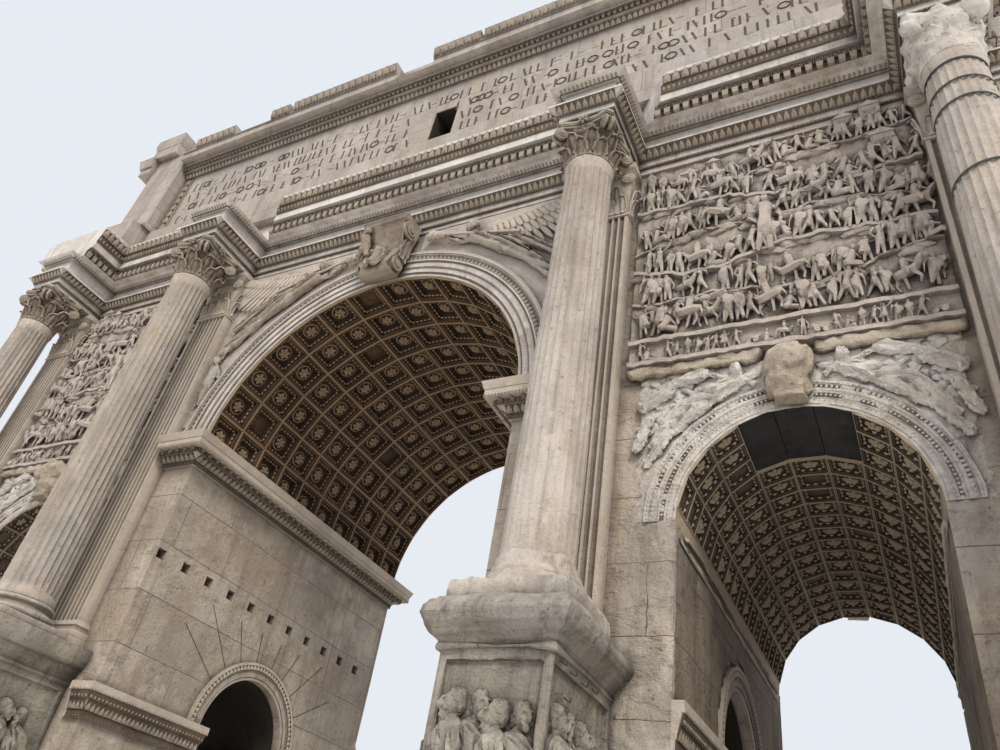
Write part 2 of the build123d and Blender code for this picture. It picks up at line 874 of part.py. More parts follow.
def save_masonry():
    """Write the piers, vault blocks and walls."""
    save("pier_outer_right", outer_pier())
    save("pier_outer_left", mirrored_x(outer_pier()))
    front_right = inner_pier_half()
    save("pier_inner_right_front", front_right)
    save("pier_inner_right_back", mirrored_y(front_right))
    save("pier_inner_left_front", mirrored_x(front_right))
    save("pier_inner_left_back", mirrored_x(mirrored_y(front_right)))
    save("passage_vault_right", passage_vault())
    save("passage_vault_left", mirrored_x(passage_vault()))
    save("side_vault_right", side_vault())
    save("side_vault_left", mirrored_x(side_vault()) - putlog_holes())
    save("central_vault", central_vault())
    save("upper_wall_right", upper_wall())
    save("upper_wall_left", mirrored_x(upper_wall()))


def save_vault_linings():
    """Write the coffered linings of the three vaults."""
    centre_sizes = (centre_coffer_rows, centre_coffer_bays, centre_coffer_depth, centre_rib_width)
    save("central_coffering", coffering(0, centre_spring, centre_radius, centre_lining, *centre_sizes))
    side_sizes = (side_coffer_rows, side_coffer_bays, side_coffer_depth, side_rib_width, side_border_angle)
    right = coffering(
        side_centre,
        side_spring,
        side_radius,
        side_lining,
        *side_sizes,
        patch=(smooth_patch_rows, smooth_patch_bays),
    )
    left = coffering(side_centre, side_spring, side_radius, side_lining, *side_sizes)
    save("side_coffering", right, mirrored_x(left))


def save_trim():
    """Write the imposts, archivolts, keystones and sculptured slabs."""
    band = impost()
    save("impost_cornices", band, mirrored_x(band))
    band = passage_impost()
    save("passage_imposts", band, mirrored_y(band), mirrored_x(band), mirrored_x(mirrored_y(band)))
    jambs = [side_impost(side_centre - side_radius, 1), side_impost(side_centre + side_radius, -1)]
    save("side_imposts", *jambs, *[mirrored_x(jamb) for jamb in jambs])
    centre_ring = archivolt(
        0,
        centre_spring,
        centre_radius,
        centre_archivolt_width,
        centre_archivolt_projection,
        centre_archivolt_sides,
    )
    side_ring = archivolt(
        side_centre,
        side_spring,
        side_radius,
        side_archivolt_width,
        side_archivolt_projection,
        side_archivolt_sides,
    )
    save("archivolts", *both_faces([centre_ring, side_ring, mirrored_x(side_ring)]))
    mouths = [passage_archivolt(centre_radius, -1), passage_archivolt(side_centre - side_radius, 1)]
    save("passage_archivolts", *mouths, *[mirrored_x(mouth) for mouth in mouths])
    save("keystones", *both_faces([centre_keystone(), side_keystone(), mirrored_x(side_keystone())]))
    save("relief_panels", *both_faces([relief_panel(), mirrored_x(relief_panel())]))
    save("procession_friezes", *both_faces([procession_frieze(), mirrored_x(procession_frieze())]))


def save_orders():
    """Write the pedestals, columns and pilasters."""
    pilasters = [pilaster(x) for x in (inner_column_x, outer_column_x)]
    save("pilasters", *both_faces(pilasters + [mirrored_x(shape) for shape in pilasters]))
    front = [pedestal(x, x == inner_column_x) for x in COLUMN_XS]
    back = [mirrored_y(pedestal(x, False)) for x in COLUMN_XS]
    save("pedestals", *front, *back)
    save("column_bases", *both_faces([column_base(x, -column_y) for x in COLUMN_XS]))
    save("column_capitals", *both_faces([capital(x, -column_y) for x in COLUMN_XS]))
    for i, x in enumerate(COLUMN_XS):
        shaft = column_shaft(x, -column_y)
        save(f"column_shaft_front_{i + 1}", shaft)
        save(f"column_shaft_back_{i + 1}", mirrored_y(shaft))


def save_entablature_and_attic():
    """Write what the columns and walls carry."""
    save("architrave", architrave())
    save("frieze", frieze())
    save("cornice", cornice())
    save("attic_base", attic_base())
    save("attic_front_wall", attic_front_wall())
    save("attic_back_wall", attic_back_wall())
    save("attic_end_walls", attic_end_wall(), mirrored_x(attic_end_wall()))
    corners = [(sx, sy) for sx in (-1, 1) for sy in (-1, 1)]
    save("attic_pilasters", *[attic_pilaster(sx, sy) for sx, sy in corners])
    save("attic_cornice", attic_cornice())
    save("attic_roof", attic_roof())
    save("attic_corner_blocks", *[corner_block(sx, sy) for sx, sy in corners])


os.makedirs("parts", exist_ok=True)
save_masonry()
save_vault_linings()
save_trim()
save_orders()
save_entablature_and_attic()
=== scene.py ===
"""Dresses a Roman triumphal arch: weathered marble, carved mouldings, coffers, capitals and reliefs.

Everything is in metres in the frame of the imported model: X along the long face, Y into the archways, Z up.
Units of ornament are modelled lying on the plane y = 0 with their outside towards -Y, and are then run
along the straight and curved courses of the arch.
"""

import json
import logging
import math
import random
from collections.abc import Callable, Iterator, Sequence
from contextlib import contextmanager
from dataclasses import dataclass, field
from enum import Enum

import bmesh
import bpy
from mathutils import Matrix, Vector

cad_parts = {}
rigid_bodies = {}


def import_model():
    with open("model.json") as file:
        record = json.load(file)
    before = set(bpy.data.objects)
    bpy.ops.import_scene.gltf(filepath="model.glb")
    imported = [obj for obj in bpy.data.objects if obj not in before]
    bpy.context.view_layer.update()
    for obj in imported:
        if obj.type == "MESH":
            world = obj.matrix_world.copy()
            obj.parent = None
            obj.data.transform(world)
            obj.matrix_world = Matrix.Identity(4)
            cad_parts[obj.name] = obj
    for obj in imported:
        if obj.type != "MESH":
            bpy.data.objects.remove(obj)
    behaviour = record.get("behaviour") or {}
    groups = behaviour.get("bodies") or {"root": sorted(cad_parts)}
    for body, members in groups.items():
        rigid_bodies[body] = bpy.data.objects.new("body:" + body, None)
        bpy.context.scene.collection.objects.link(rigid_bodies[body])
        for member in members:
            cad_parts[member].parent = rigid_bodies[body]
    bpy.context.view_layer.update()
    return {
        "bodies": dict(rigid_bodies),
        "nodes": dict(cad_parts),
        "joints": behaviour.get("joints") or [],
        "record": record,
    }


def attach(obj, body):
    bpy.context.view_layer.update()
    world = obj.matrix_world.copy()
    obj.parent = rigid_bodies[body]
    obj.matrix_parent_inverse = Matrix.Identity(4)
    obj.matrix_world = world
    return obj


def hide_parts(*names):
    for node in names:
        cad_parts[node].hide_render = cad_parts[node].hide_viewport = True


LOG = logging.getLogger("arch")

Piece = bpy.types.Object
Point = tuple[float, float, float]
Colour = tuple[float, float, float]
Flat = tuple[float, float]
Band = tuple[float, float, float]
CarvedRow = tuple[str, float, float, float]
Four = tuple[float, float, float, float]
Limb = tuple[float, float, float, float, float, float]
ORIGIN = (0.0, 0.0, 0.0)
QUARTER = math.pi / 2
FACING = (QUARTER, 0.0, 0.0)

WALL_X = 10.95
WALL_Y = 3.515
COLUMN_XS = (-10.165, -4.71, 4.71, 10.165)
INNER_COLUMN = 4.71
COLUMN_Y = 4.565
PEDESTAL_TOP = 4.42
SHAFT_BOTTOM = 4.90
SHAFT_TOP = 12.20
ARCHITRAVE_BOTTOM = 13.20
CENTRE_SPRING = 8.56
CENTRE_RADIUS = 3.43
SIDE_CENTRE = 7.525
SIDE_SPRING = 6.10
SIDE_RADIUS = 1.5
SIDE_JAMBS = ((6.025, 1.0), (9.025, -1.0))
PASSAGE_SPRING = 3.93
PASSAGE_RADIUS = 1.12


class Slot(Enum):
    """The record's material slots."""

    WALL = "wall_marble"
    COLUMN = "column_marble"
    CARVED = "carved_marble"
    VAULT = "vault_stone"
    ENTABLATURE = "entablature_marble"
    ATTIC = "attic_marble"
    PEDESTAL = "pedestal_marble"


def only(*pieces: Piece) -> None:
    """Select these pieces and nothing else, the first one active."""
    bpy.ops.object.select_all(action="DESELECT")
    for piece in pieces:
        piece.select_set(True)
    bpy.context.view_layer.objects.active = pieces[0]


@contextmanager
def editing(piece: Piece, mode: str = "FACE") -> Iterator[None]:
    """Edit mode on one piece with all of it selected."""
    only(piece)
    bpy.ops.object.mode_set(mode="EDIT")
    bpy.ops.mesh.select_mode(type=mode)
    bpy.ops.mesh.select_all(action="SELECT")
    yield
    bpy.ops.object.mode_set(mode="OBJECT")


def pick_faces(piece: Piece, test: Callable[[Vector, Vector], bool]) -> None:
    """Select the faces whose centre and normal pass a test, in edit mode."""
    mesh = bmesh.from_edit_mesh(piece.data)
    for face in mesh.faces:
        face.select_set(test(face.calc_center_median(), face.normal))
    mesh.select_flush_mode()
    bmesh.update_edit_mesh(piece.data)


def pick_points(piece: Piece, test: Callable[[Vector], bool]) -> None:
    """Select the vertices whose place passes a test, in edit mode."""
    mesh = bmesh.from_edit_mesh(piece.data)
    for vertex in mesh.verts:
        vertex.select_set(test(vertex.co))
    mesh.select_flush_mode()
    bmesh.update_edit_mesh(piece.data)


def settle(piece: Piece) -> Piece:
    """Put a piece's place, turn and size into its mesh."""
    only(piece)
    bpy.ops.object.transform_apply(location=True, rotation=True, scale=True)
    return piece


def block(x0: float, x1: float, y0: float, y1: float, z0: float, z1: float) -> Piece:
    """A square block between two opposite corners."""
    centre = ((x0 + x1) / 2, (y0 + y1) / 2, (z0 + z1) / 2)
    size = (abs(x1 - x0), abs(y1 - y0), abs(z1 - z0))
    bpy.ops.mesh.primitive_cube_add(size=1.0, location=centre, scale=size)
    return settle(bpy.context.object)


def ball(centre: Point, size: Point, segments: int = 8, rings: int = 6, tilt: float = 0.0) -> Piece:
    """An ellipsoid of the given half sizes, tilted about Y."""
    turn = (0.0, tilt, 0.0)
    bpy.ops.mesh.primitive_uv_sphere_add(
        segments=segments, ring_count=rings, radius=1.0, location=centre, rotation=turn, scale=size
    )
    return settle(bpy.context.object)


def limb(start: Point, end: Point, first: float, last: float, sides: int = 8) -> Piece:
    """A tapering round bar between two points."""
    a = Vector(start)
    b = Vector(end)
    bpy.ops.mesh.primitive_cone_add(
        vertices=sides, radius1=first, radius2=last, depth=(b - a).length, location=(a + b) / 2,
        rotation=(b - a).to_track_quat("Z", "Y").to_euler(),
    )
    return settle(bpy.context.object)


def disc(centre: Point, radius: float, thickness: float, sides: int = 16) -> Piece:
    """A flat round plate that faces -Y."""
    bpy.ops.mesh.primitive_cylinder_add(
        vertices=sides, radius=radius, depth=thickness, location=centre, rotation=FACING
    )
    return settle(bpy.context.object)


def traced(points: Sequence[Point]) -> Piece:
    """One flat face drawn corner by corner."""
    corners = [Vector(point) for point in points]
    bpy.ops.mesh.primitive_plane_add(size=0.01, location=corners[0])
    piece = bpy.context.object
    with editing(piece, "VERT"):
        bpy.ops.mesh.merge(type="CENTER")
        for a, b in zip(corners, corners[1:]):
            bpy.ops.mesh.extrude_region_move(TRANSFORM_OT_translate={"value": b - a})
        bpy.ops.mesh.select_all(action="SELECT")
        bpy.ops.mesh.edge_face_add()
    return settle(piece)


def outward(piece: Piece, merge: float = 1e-5) -> Piece:
    """Merge doubled points and turn the faces outwards."""
    with editing(piece):
        bpy.ops.mesh.remove_doubles(threshold=merge)
        bpy.ops.mesh.normals_make_consistent(inside=False)
    return piece


def extruded(points: Sequence[Point], along: Point) -> Piece:
    """A prism on a traced face."""
    piece = traced(points)
    with editing(piece):
        bpy.ops.mesh.extrude_region_move(TRANSFORM_OT_translate={"value": along})
    return outward(piece)


def spun(points: Sequence[Point], steps: int, angle: float, centre: Point, axis: Point) -> Piece:
    """A traced section spun about an axis; a full turn closes on itself."""
    piece = traced(points)
    full = abs(abs(angle) - 2 * math.pi) < 1e-6
    with editing(piece):
        if full:
            bpy.ops.mesh.delete(type="ONLY_FACE")
            bpy.ops.mesh.select_mode(type="EDGE")
            bpy.ops.mesh.select_all(action="SELECT")
        bpy.ops.mesh.spin(steps=steps, angle=angle, center=centre, axis=axis)
    return outward(piece, 1e-4)


def lathed(profile: Sequence[Flat], x: float, y: float, steps: int) -> Piece:
    """A turned solid: the profile's (radius, height) points go from the bottom centre to the top centre."""
    points = [(x + radius, y, z) for radius, z in profile]
    piece = traced(points)
    with editing(piece):
        bpy.ops.mesh.delete(type="ONLY_FACE")
        bpy.ops.mesh.select_mode(type="EDGE")
        pick_edges_off_axis(piece, x, y)
        bpy.ops.mesh.spin(steps=steps, angle=2 * math.pi, center=(x, y, 0.0), axis=(0.0, 0.0, 1.0))
    return outward(piece, 1e-4)


def pick_edges_off_axis(piece: Piece, x: float, y: float) -> None:
    """Select the edges that don't lie on an upright axis, and delete the rest, in edit mode."""
    mesh = bmesh.from_edit_mesh(piece.data)
    for edge in mesh.edges:
        distance = max(math.hypot(v.co.x - x, v.co.y - y) for v in edge.verts)
        edge.select_set(distance < 1e-6)
    mesh.select_flush_mode()
    bmesh.update_edit_mesh(piece.data)
    bpy.ops.mesh.delete(type="EDGE")
    bpy.ops.mesh.select_all(action="SELECT")


def modified(piece: Piece, kind: str, **settings: object) -> Piece:
    """Add a modifier with its settings and apply it."""
    only(piece)
    modifier = piece.modifiers.new(kind.lower(), kind)
    for key, value in settings.items():
        setattr(modifier, key, value)
    bpy.ops.object.modifier_apply(modifier=modifier.name)
    return piece


def repeated(piece: Piece, count: int, step: Sequence[float]) -> Piece:
    """A straight row of copies."""
    return modified(
        piece, "ARRAY", count=count, use_relative_offset=False, use_constant_offset=True,
        constant_offset_displace=tuple(step),
    )


def turned_row(piece: Piece, count: int, turn: Matrix) -> Piece:
    """A row of copies, each turned from the last one by a matrix."""
    bpy.ops.object.empty_add(location=ORIGIN)
    hub = bpy.context.object
    hub.matrix_world = turn
    bpy.context.view_layer.update()
    offsets = {"use_relative_offset": False, "use_object_offset": True, "offset_object": hub}
    modified(piece, "ARRAY", count=count, **offsets)
    drop(hub)
    return piece


def about(angle: float, axis: str, centre: Point) -> Matrix:
    """A turn about an axis through a point."""
    there = Matrix.Translation(centre)
    return there @ turned(angle, axis) @ there.inverted()


def moved(x: float, y: float, z: float) -> Matrix:
    """A move along the three axes."""
    return Matrix.Translation((x, y, z))


def turned(angle: float, axis: str) -> Matrix:
    """A turn about an axis through the origin."""
    return Matrix.Rotation(angle, 4, axis)


def placed(piece: Piece, place: Matrix) -> Piece:
    """The piece itself, its mesh moved by a matrix."""
    piece.data.transform(place)
    return piece


def fourfold(piece: Piece) -> Piece:
    """A piece of the right front quarter, mirrored into all four."""
    return mirrored(piece, x=True, y=True)


def copy_at(source: Piece, place: Matrix) -> Piece:
    """A copy of a piece with its own mesh, moved by a matrix."""
    twin = source.copy()
    twin.data = source.data.copy()
    twin.data.transform(place)
    bpy.context.scene.collection.objects.link(twin)
    return twin


def copies(source: Piece, places: Sequence[Matrix]) -> list[Piece]:
    """Copies of a piece at several places; the source itself goes."""
    made = [copy_at(source, place) for place in places]
    drop(source)
    return made


def drop(*pieces: Piece) -> None:
    """Remove pieces that were only patterns."""
    for piece in pieces:
        bpy.data.objects.remove(piece)


def joined(pieces: Sequence[Piece], name: str = "part") -> Piece:
    """Join pieces into one."""
    only(*pieces)
    if len(pieces) > 1:
        bpy.ops.object.join()
    piece = bpy.context.view_layer.objects.active
    piece.name = name
    return settle(piece)


def mirrored(piece: Piece, x: bool = False, y: bool = False) -> Piece:
    """The piece with its mirror images across the middle planes of the arch."""
    return modified(piece, "MIRROR", use_axis=(x, y, False), use_mirror_merge=False)


def flipped(source: Piece, axis: int) -> Piece:
    """A mirror image of a piece across the plane where an axis is zero."""
    signs = [1.0, 1.0, 1.0]
    signs[axis] = -1.0
    twin = copy_at(source, Matrix.Diagonal((*signs, 1.0)))
    with editing(twin):
        bpy.ops.mesh.flip_normals()
    return twin


def softened(piece: Piece, width: float, segments: int = 1) -> Piece:
    """Round the edges a little."""
    return modified(piece, "BEVEL", width=width, segments=segments, limit_method="ANGLE", angle_limit=0.6)


def worn(piece: Piece, depth: float, size: float) -> Piece:
    """Push a surface in and out by a cloud pattern."""
    pattern = bpy.data.textures.new("wear", "CLOUDS")
    pattern.noise_scale = size
    pattern.noise_depth = 3
    return modified(piece, "DISPLACE", texture=pattern, strength=depth, mid_level=0.5, texture_coords="LOCAL")


def moulded_clay(lumps: Sequence[Piece], voxel: float, keep: float) -> Piece:
    """Melt lumps into one carved form.

    Args:
        lumps: The overlapping solids that make the form.
        voxel: Size of the cells of the melted surface.
        keep: Share of its faces that stays.

    Returns:
        The form as one closed mesh.
    """
    form = joined(lumps)
    modified(form, "REMESH", mode="VOXEL", voxel_size=voxel)
    modified(form, "DECIMATE", ratio=keep)
    return form


def frame_of(along: Vector, outside: Vector, at: Vector, tilt: float = 0.0) -> Matrix:
    """Matrix that lays a unit's X along a run and its -Y towards the outside, tipped about the run."""
    up = along.cross(-outside).normalized()
    turn = Matrix((along, -outside, up)).transposed().to_4x4()
    return Matrix.Translation(at) @ turn @ turned(tilt, "X")


@dataclass(frozen=True)
class Stretch:
    """A straight stretch of a course, seen from above, with its outside on its right."""

    x0: float
    y0: float
    x1: float
    y1: float

    @property
    def length(self) -> float:
        """Its length."""
        return math.hypot(self.x1 - self.x0, self.y1 - self.y0)

    def run(self, unit: Piece, z: float, pitch: float, tilt: float = 0.0) -> Piece | None:
        """A row of units along the stretch.

        Args:
            unit: The unit of ornament, which is kept.
            z: Height of the unit's foot.
            pitch: Wished distance between units.
            tilt: Lean of each unit about the run.

        Returns:
            The joined row, or None where nothing fits.
        """
        count = round(self.length / pitch)
        if count < 1:
            return None
        along = Vector((self.x1 - self.x0, self.y1 - self.y0, 0.0)).normalized()
        outside = Vector((along.y, -along.x, 0.0))
        step = along * (self.length / count)
        start = Vector((self.x0, self.y0, z)) + step / 2
        row = copy_at(unit, frame_of(along, outside, start, tilt))
        return repeated(row, count, step)


def runs(unit: Piece, stretches: Sequence[Stretch], z: float, pitch: float, tilt: float = 0.0) -> list[Piece]:
    """Rows of one unit along several stretches; the unit itself goes."""
    rows = [stretch.run(unit, z, pitch, tilt) for stretch in stretches]
    drop(unit)
    return [row for row in rows if row is not None]


def grounds(stretches: Sequence[Stretch], z: float, height: float, tilt: float = 0.0) -> list[Piece]:
    """Thin strips of painted shade that back a carved row where its hollows fall dark, one to a stretch."""
    made = []
    for stretch in stretches:
        half = stretch.length / 2
        strip = block(-half, half, -0.007, 0.01, 0.0, height)
        made.append(stretch.run(strip, z, stretch.length, tilt))
        drop(strip)
    return made


@dataclass(frozen=True)
class Row:
    """One carved row of a course: how far it stands out, its foot, its pitch and its lean."""

    unit: Callable[..., Piece]
    sizes: tuple[float, ...]
    out: float
    foot: float
    pitch: float
    lean: float = 0.0


@dataclass(frozen=True)
class Hollow:
    """The painted shade behind a carved row: how far it stands out, its foot, its height and its lean."""

    out: float
    foot: float
    height: float
    lean: float = 0.0


def carved(course: Callable[[float], list[Stretch]], rows: Sequence[Row]) -> list[Piece]:
    """The carved rows of a course, which gives its stretches at a projection."""
    made = []
    for row in rows:
        made += runs(row.unit(*row.sizes), course(row.out), row.foot, row.pitch, row.lean)
    return made


def darkened(course: Callable[[float], list[Stretch]], hollows: Sequence[Hollow]) -> list[Piece]:
    """The strips of painted shade of a course, which gives its stretches at a projection."""
    made = []
    for hollow in hollows:
        made += grounds(course(hollow.out), hollow.foot, hollow.height, hollow.lean)
    return made


def arc_run(
    unit: Piece, centre: float, spring: float, radius: float, y: float, count: int, start: float = 0.0
) -> Piece:
    """A row of units round an arch on the front, each with its Z pointing away from the axis.

    Args:
        unit: The unit of ornament, which goes.
        centre: X of the arch's axis.
        spring: Height of the arch's axis.
        radius: Radius of the units' feet.
        y: Plane that the units stand on.
        count: Number of units.
        start: Angle left free at each foot.

    Returns:
        The joined row.
    """
    step = (math.pi - 2 * start) / count
    place = moved(centre, y, spring) @ turned(QUARTER - start - step / 2, "Y")
    row = copy_at(unit, place @ moved(0.0, 0.0, radius))
    drop(unit)
    return turned_row(row, count, about(-step, "Y", (centre, 0.0, spring)))


class Socket:
    """A shader output that takes part in Python arithmetic by adding Math nodes."""

    def __init__(self, graph: "Graph", output: bpy.types.NodeSocket) -> None:
        """Keep the output and the graph that it belongs to."""
        self.graph = graph
        self.output = output

    def _math(self, operation: str, *values: "Socket | float") -> "Socket":
        """Add one Math node on the given values."""
        return self.graph.node("ShaderNodeMath", {"operation": operation}, dict(enumerate(values)))

    def __add__(self, other: "Socket | float") -> "Socket":
        """Sum."""
        return self._math("ADD", self, other)

    def __radd__(self, other: float) -> "Socket":
        """Reflected sum."""
        return self._math("ADD", other, self)

    def __sub__(self, other: "Socket | float") -> "Socket":
        """Difference."""
        return self._math("SUBTRACT", self, other)

    def __rsub__(self, other: float) -> "Socket":
        """Reflected difference."""
        return self._math("SUBTRACT", other, self)

    def __mul__(self, other: "Socket | float") -> "Socket":
        """Product."""
        return self._math("MULTIPLY", self, other)

    def __rmul__(self, other: float) -> "Socket":
        """Reflected product."""
        return self._math("MULTIPLY", other, self)

    def __truediv__(self, other: "Socket | float") -> "Socket":
        """Quotient."""
        return self._math("DIVIDE", self, other)

    def __pow__(self, other: float) -> "Socket":
        """Power."""
        return self._math("POWER", self, other)

    def stepped(self, low: float, high: float) -> "Socket":
        """A smooth ramp from 0 at low to 1 at high."""
        ramp = {"interpolation_type": "SMOOTHSTEP"}
        return self.graph.node("ShaderNodeMapRange", ramp, {"Value": self, "From Min": low, "From Max": high})


class Graph:
    """Builds one material's node tree."""

    def __init__(self, name: str) -> None:
        """Start a new material with an empty tree."""
        self.material = bpy.data.materials.new(name)
        self.material.use_nodes = True
        self.tree = self.material.node_tree
        self.tree.nodes.clear()

    def node(
        self, kind: str, settings: dict[str, object], inputs: dict[str | int, object], output: str | int = 0
    ) -> Socket:
        """Add a node.

        Args:
            kind: The node's type name.
            settings: Attributes set before the sockets.
            inputs: Values or sockets for the node's inputs, by name or place.
            output: The output to return, by name or place.

        Returns:
            The wrapped output.
        """
        made = self.tree.nodes.new(kind)
        for key, value in settings.items():
            setattr(made, key, value)
        for key, value in inputs.items():
            socket = made.inputs[key]
            if isinstance(value, Socket):
                self.tree.links.new(value.output, socket)
            else:
                socket.default_value = value
        return Socket(self, made.outputs[output])

    def place(self, scale: Point = (1.0, 1.0, 1.0), offset: Point = (0.0, 0.0, 0.0)) -> Socket:
        """Object coordinates, scaled along each axis and shifted."""
        coordinates = self.node("ShaderNodeTexCoord", {}, {}, "Object")
        return self.node("ShaderNodeMapping", {}, {"Vector": coordinates, "Scale": scale, "Location": offset})

    def noise(self, vector: Socket, scale: float, detail: float = 4.0, roughness: float = 0.55) -> Socket:
        """Fractal noise between 0 and 1."""
        values = {"Vector": vector, "Scale": scale, "Detail": detail, "Roughness": roughness}
        return self.node("ShaderNodeTexNoise", {}, values, "Fac")

    def mix(self, factor: "Socket | float", first: "Socket | Colour", second: "Socket | Colour") -> Socket:
        """Blend of two colours."""
        made = self.tree.nodes.new("ShaderNodeMix")
        made.data_type = "RGBA"
        made.clamp_factor = True
        for index, value in ((0, factor), (6, first), (7, second)):
            if isinstance(value, Socket):
                self.tree.links.new(value.output, made.inputs[index])
            elif index == 0:
                made.inputs[index].default_value = value
            else:
                made.inputs[index].default_value = (*value, 1.0)
        return Socket(self, made.outputs[2])

    def finish(self, colour: Socket, roughness: "Socket | float", bump: Socket | None, depth: float) -> None:
        """Close the tree with a Principled surface and an optional bump."""
        values: dict[str | int, object] = {"Base Color": colour, "Roughness": roughness}
        if bump is not None:
            height = {"Height": bump, "Distance": depth, "Strength": 1.0}
            values["Normal"] = self.node("ShaderNodeBump", {}, height)
        shader = self.node("ShaderNodeBsdfPrincipled", {}, values)
        out = self.tree.nodes.new("ShaderNodeOutputMaterial")
        self.tree.links.new(shader.output, out.inputs["Surface"])


def shade(colour: Colour, factor: float) -> Colour:
    """A colour made darker or lighter."""
    return tuple(min(part * factor, 0.95) for part in colour)


@dataclass(frozen=True)
class Marble:
    """A weathered marble: three tones, clouds, optional ashlar joints, dirt mixed with painted shade in the
    hollows and an optional painted highlight on proud edges.
    """

    name: str
    light: Colour
    middle: Colour
    dark: Colour
    # Strength, reach and fullness of the dirt and painted shade in the hollows.
    dirt_and_shade: float = 0.8
    dirt_and_shade_reach: float = 0.16
    dirt_and_shade_full: float = 0.5
    grain: float = 1.0
    streaks: float = 0.5
    spall: float = 0.5
    # Strength of the painted highlight on proud edges, which also stands for worn edges.
    edges: float = 0.0
    course: float = 0.0
    block: float = 2.2
    grey: Colour = (0.43, 0.41, 0.395)
    ochre: Colour = (0.60, 0.46, 0.31)
    clouds: float = 0.55
    # Colour of that painted highlight.
    highlight_tint: Colour | None = None

    def material(self) -> bpy.types.Material:
        """Build the node material."""
        g = Graph(self.name)
        at = g.place()
        patches = g.noise(g.place((1.0, 1.0, 0.55)), 1.4, 6.0, 0.68)
        fine = g.noise(at, 38.0, 3.0, 0.7)
        pits = g.noise(at, 10.0, 5.0, 0.74)
        beds = g.noise(g.place((1.0, 1.0, 2.2), (4.0, 9.0, 2.0)), 1.5, 6.0, 0.72)
        chips = beds.stepped(0.50, 0.66) * self.spall
        base = g.mix(patches.stepped(0.38, 0.62), self.middle, self.light)
        base = self._stained(g, base)
        base = g.mix(fine.stepped(0.45, 0.8) * 0.35, base, shade(self.dark, 0.5))
        base = g.mix(chips * 0.35, base, shade(self.middle, 0.75))
        height = fine * 0.15 + pits * 1.1 + patches * 1.0 - chips * 0.5
        if self.course > 0:
            tone = self._blocks(g, "Color")
            base = g.mix(tone * 0.40, base, shade(self.middle, 0.84))
            joints = self._blocks(g, "Fac") * (0.45 + 0.55 * patches.stepped(0.42, 0.55))
            base = g.mix(joints * 0.8, base, shade(self.dark, 0.25))
            height = height - joints * 1.0
        base = self._grime_and_shaded(g, base, pits)
        g.finish(base, 0.88, height, 0.018 * self.grain)
        return g.material

    def _stained(self, g: Graph, base: Socket) -> Socket:
        """Add the grey and ochre clouds, the rain streaks and the pale scaled spots."""
        grey = g.noise(g.place((1.0, 1.0, 0.7), (11.0, 3.0, 7.0)), 0.5, 5.0, 0.68).stepped(0.49, 0.64)
        base = g.mix(grey * self.clouds, base, self.grey)
        warm = g.noise(g.place((1.0, 1.0, 0.8), (2.0, 13.0, 5.0)), 0.8, 5.0, 0.7).stepped(0.54, 0.68)
        base = g.mix(warm * self.clouds * 0.7, base, self.ochre)
        run_down = g.noise(g.place((2.6, 2.6, 0.16)), 1.8, 5.0, 0.66).stepped(0.49, 0.74)
        base = g.mix(run_down * self.streaks, base, shade(self.dark, 0.85))
        pale = g.noise(g.place((1.3, 1.3, 0.8), (5.0, 2.0, 1.0)), 2.6, 5.0, 0.7).stepped(0.55, 0.68)
        return g.mix(pale * 0.5, base, shade(self.light, 1.16))

    def _grime_and_shaded(self, g: Graph, base: Socket, pits: Socket) -> Socket:
        """Paint shade mixed with dirt into the hollows, and a painted highlight on the proud edges."""
        # Ambient occlusion paints shade into the hollows and under overhangs; the pits noise adds real dirt
        # to the same mask.
        hollow = g.node("ShaderNodeAmbientOcclusion", {"samples": 3}, {"Distance": self.dirt_and_shade_reach}, "AO")
        grime_and_shade = (1.0 - hollow + pits * 0.35 - 0.17).stepped(0.04, self.dirt_and_shade_full) * self.dirt_and_shade
        base = g.mix(grime_and_shade, base, shade(self.dark, 0.22))
        base = g.mix(pits.stepped(0.58, 0.70) * 0.6, base, shade(self.dark, 0.4))
        if self.edges > 0:
            # Pointiness lightens the convex edges: a painted highlight that also stands for worn edges.
            proud = g.node("ShaderNodeNewGeometry", {}, {}, "Pointiness").stepped(0.51, 0.58)
            base = g.mix(proud * self.edges, base, self.highlight_tint or shade(self.light, 1.2))
        return base

    def _blocks(self, g: Graph, output: str) -> Socket:
        """The courses of ashlar: the mask of their joints, or one tone for each block."""
        at = g.node("ShaderNodeTexCoord", {}, {}, "Object")
        x, y, z = (g.node("ShaderNodeSeparateXYZ", {}, {"Vector": at}, axis) for axis in "XYZ")
        wobble = g.noise(at, 1.3, 5.0, 0.6) * 0.05
        flat = g.node("ShaderNodeCombineXYZ", {}, {"X": x + y + wobble, "Y": z + wobble})
        bricks = {"offset": 0.5, "offset_frequency": 2, "squash": 1.35, "squash_frequency": 3}
        values = {
            "Vector": flat, "Color1": (0.0, 0.0, 0.0, 1.0), "Color2": (1.0, 1.0, 1.0, 1.0),
            "Mortar": (0.5, 0.5, 0.5, 1.0), "Scale": 1.0, "Mortar Size": 0.006, "Mortar Smooth": 0.4,
            "Brick Width": self.block, "Row Height": self.course,
        }
        return g.node("ShaderNodeTexBrick", bricks, values, output)


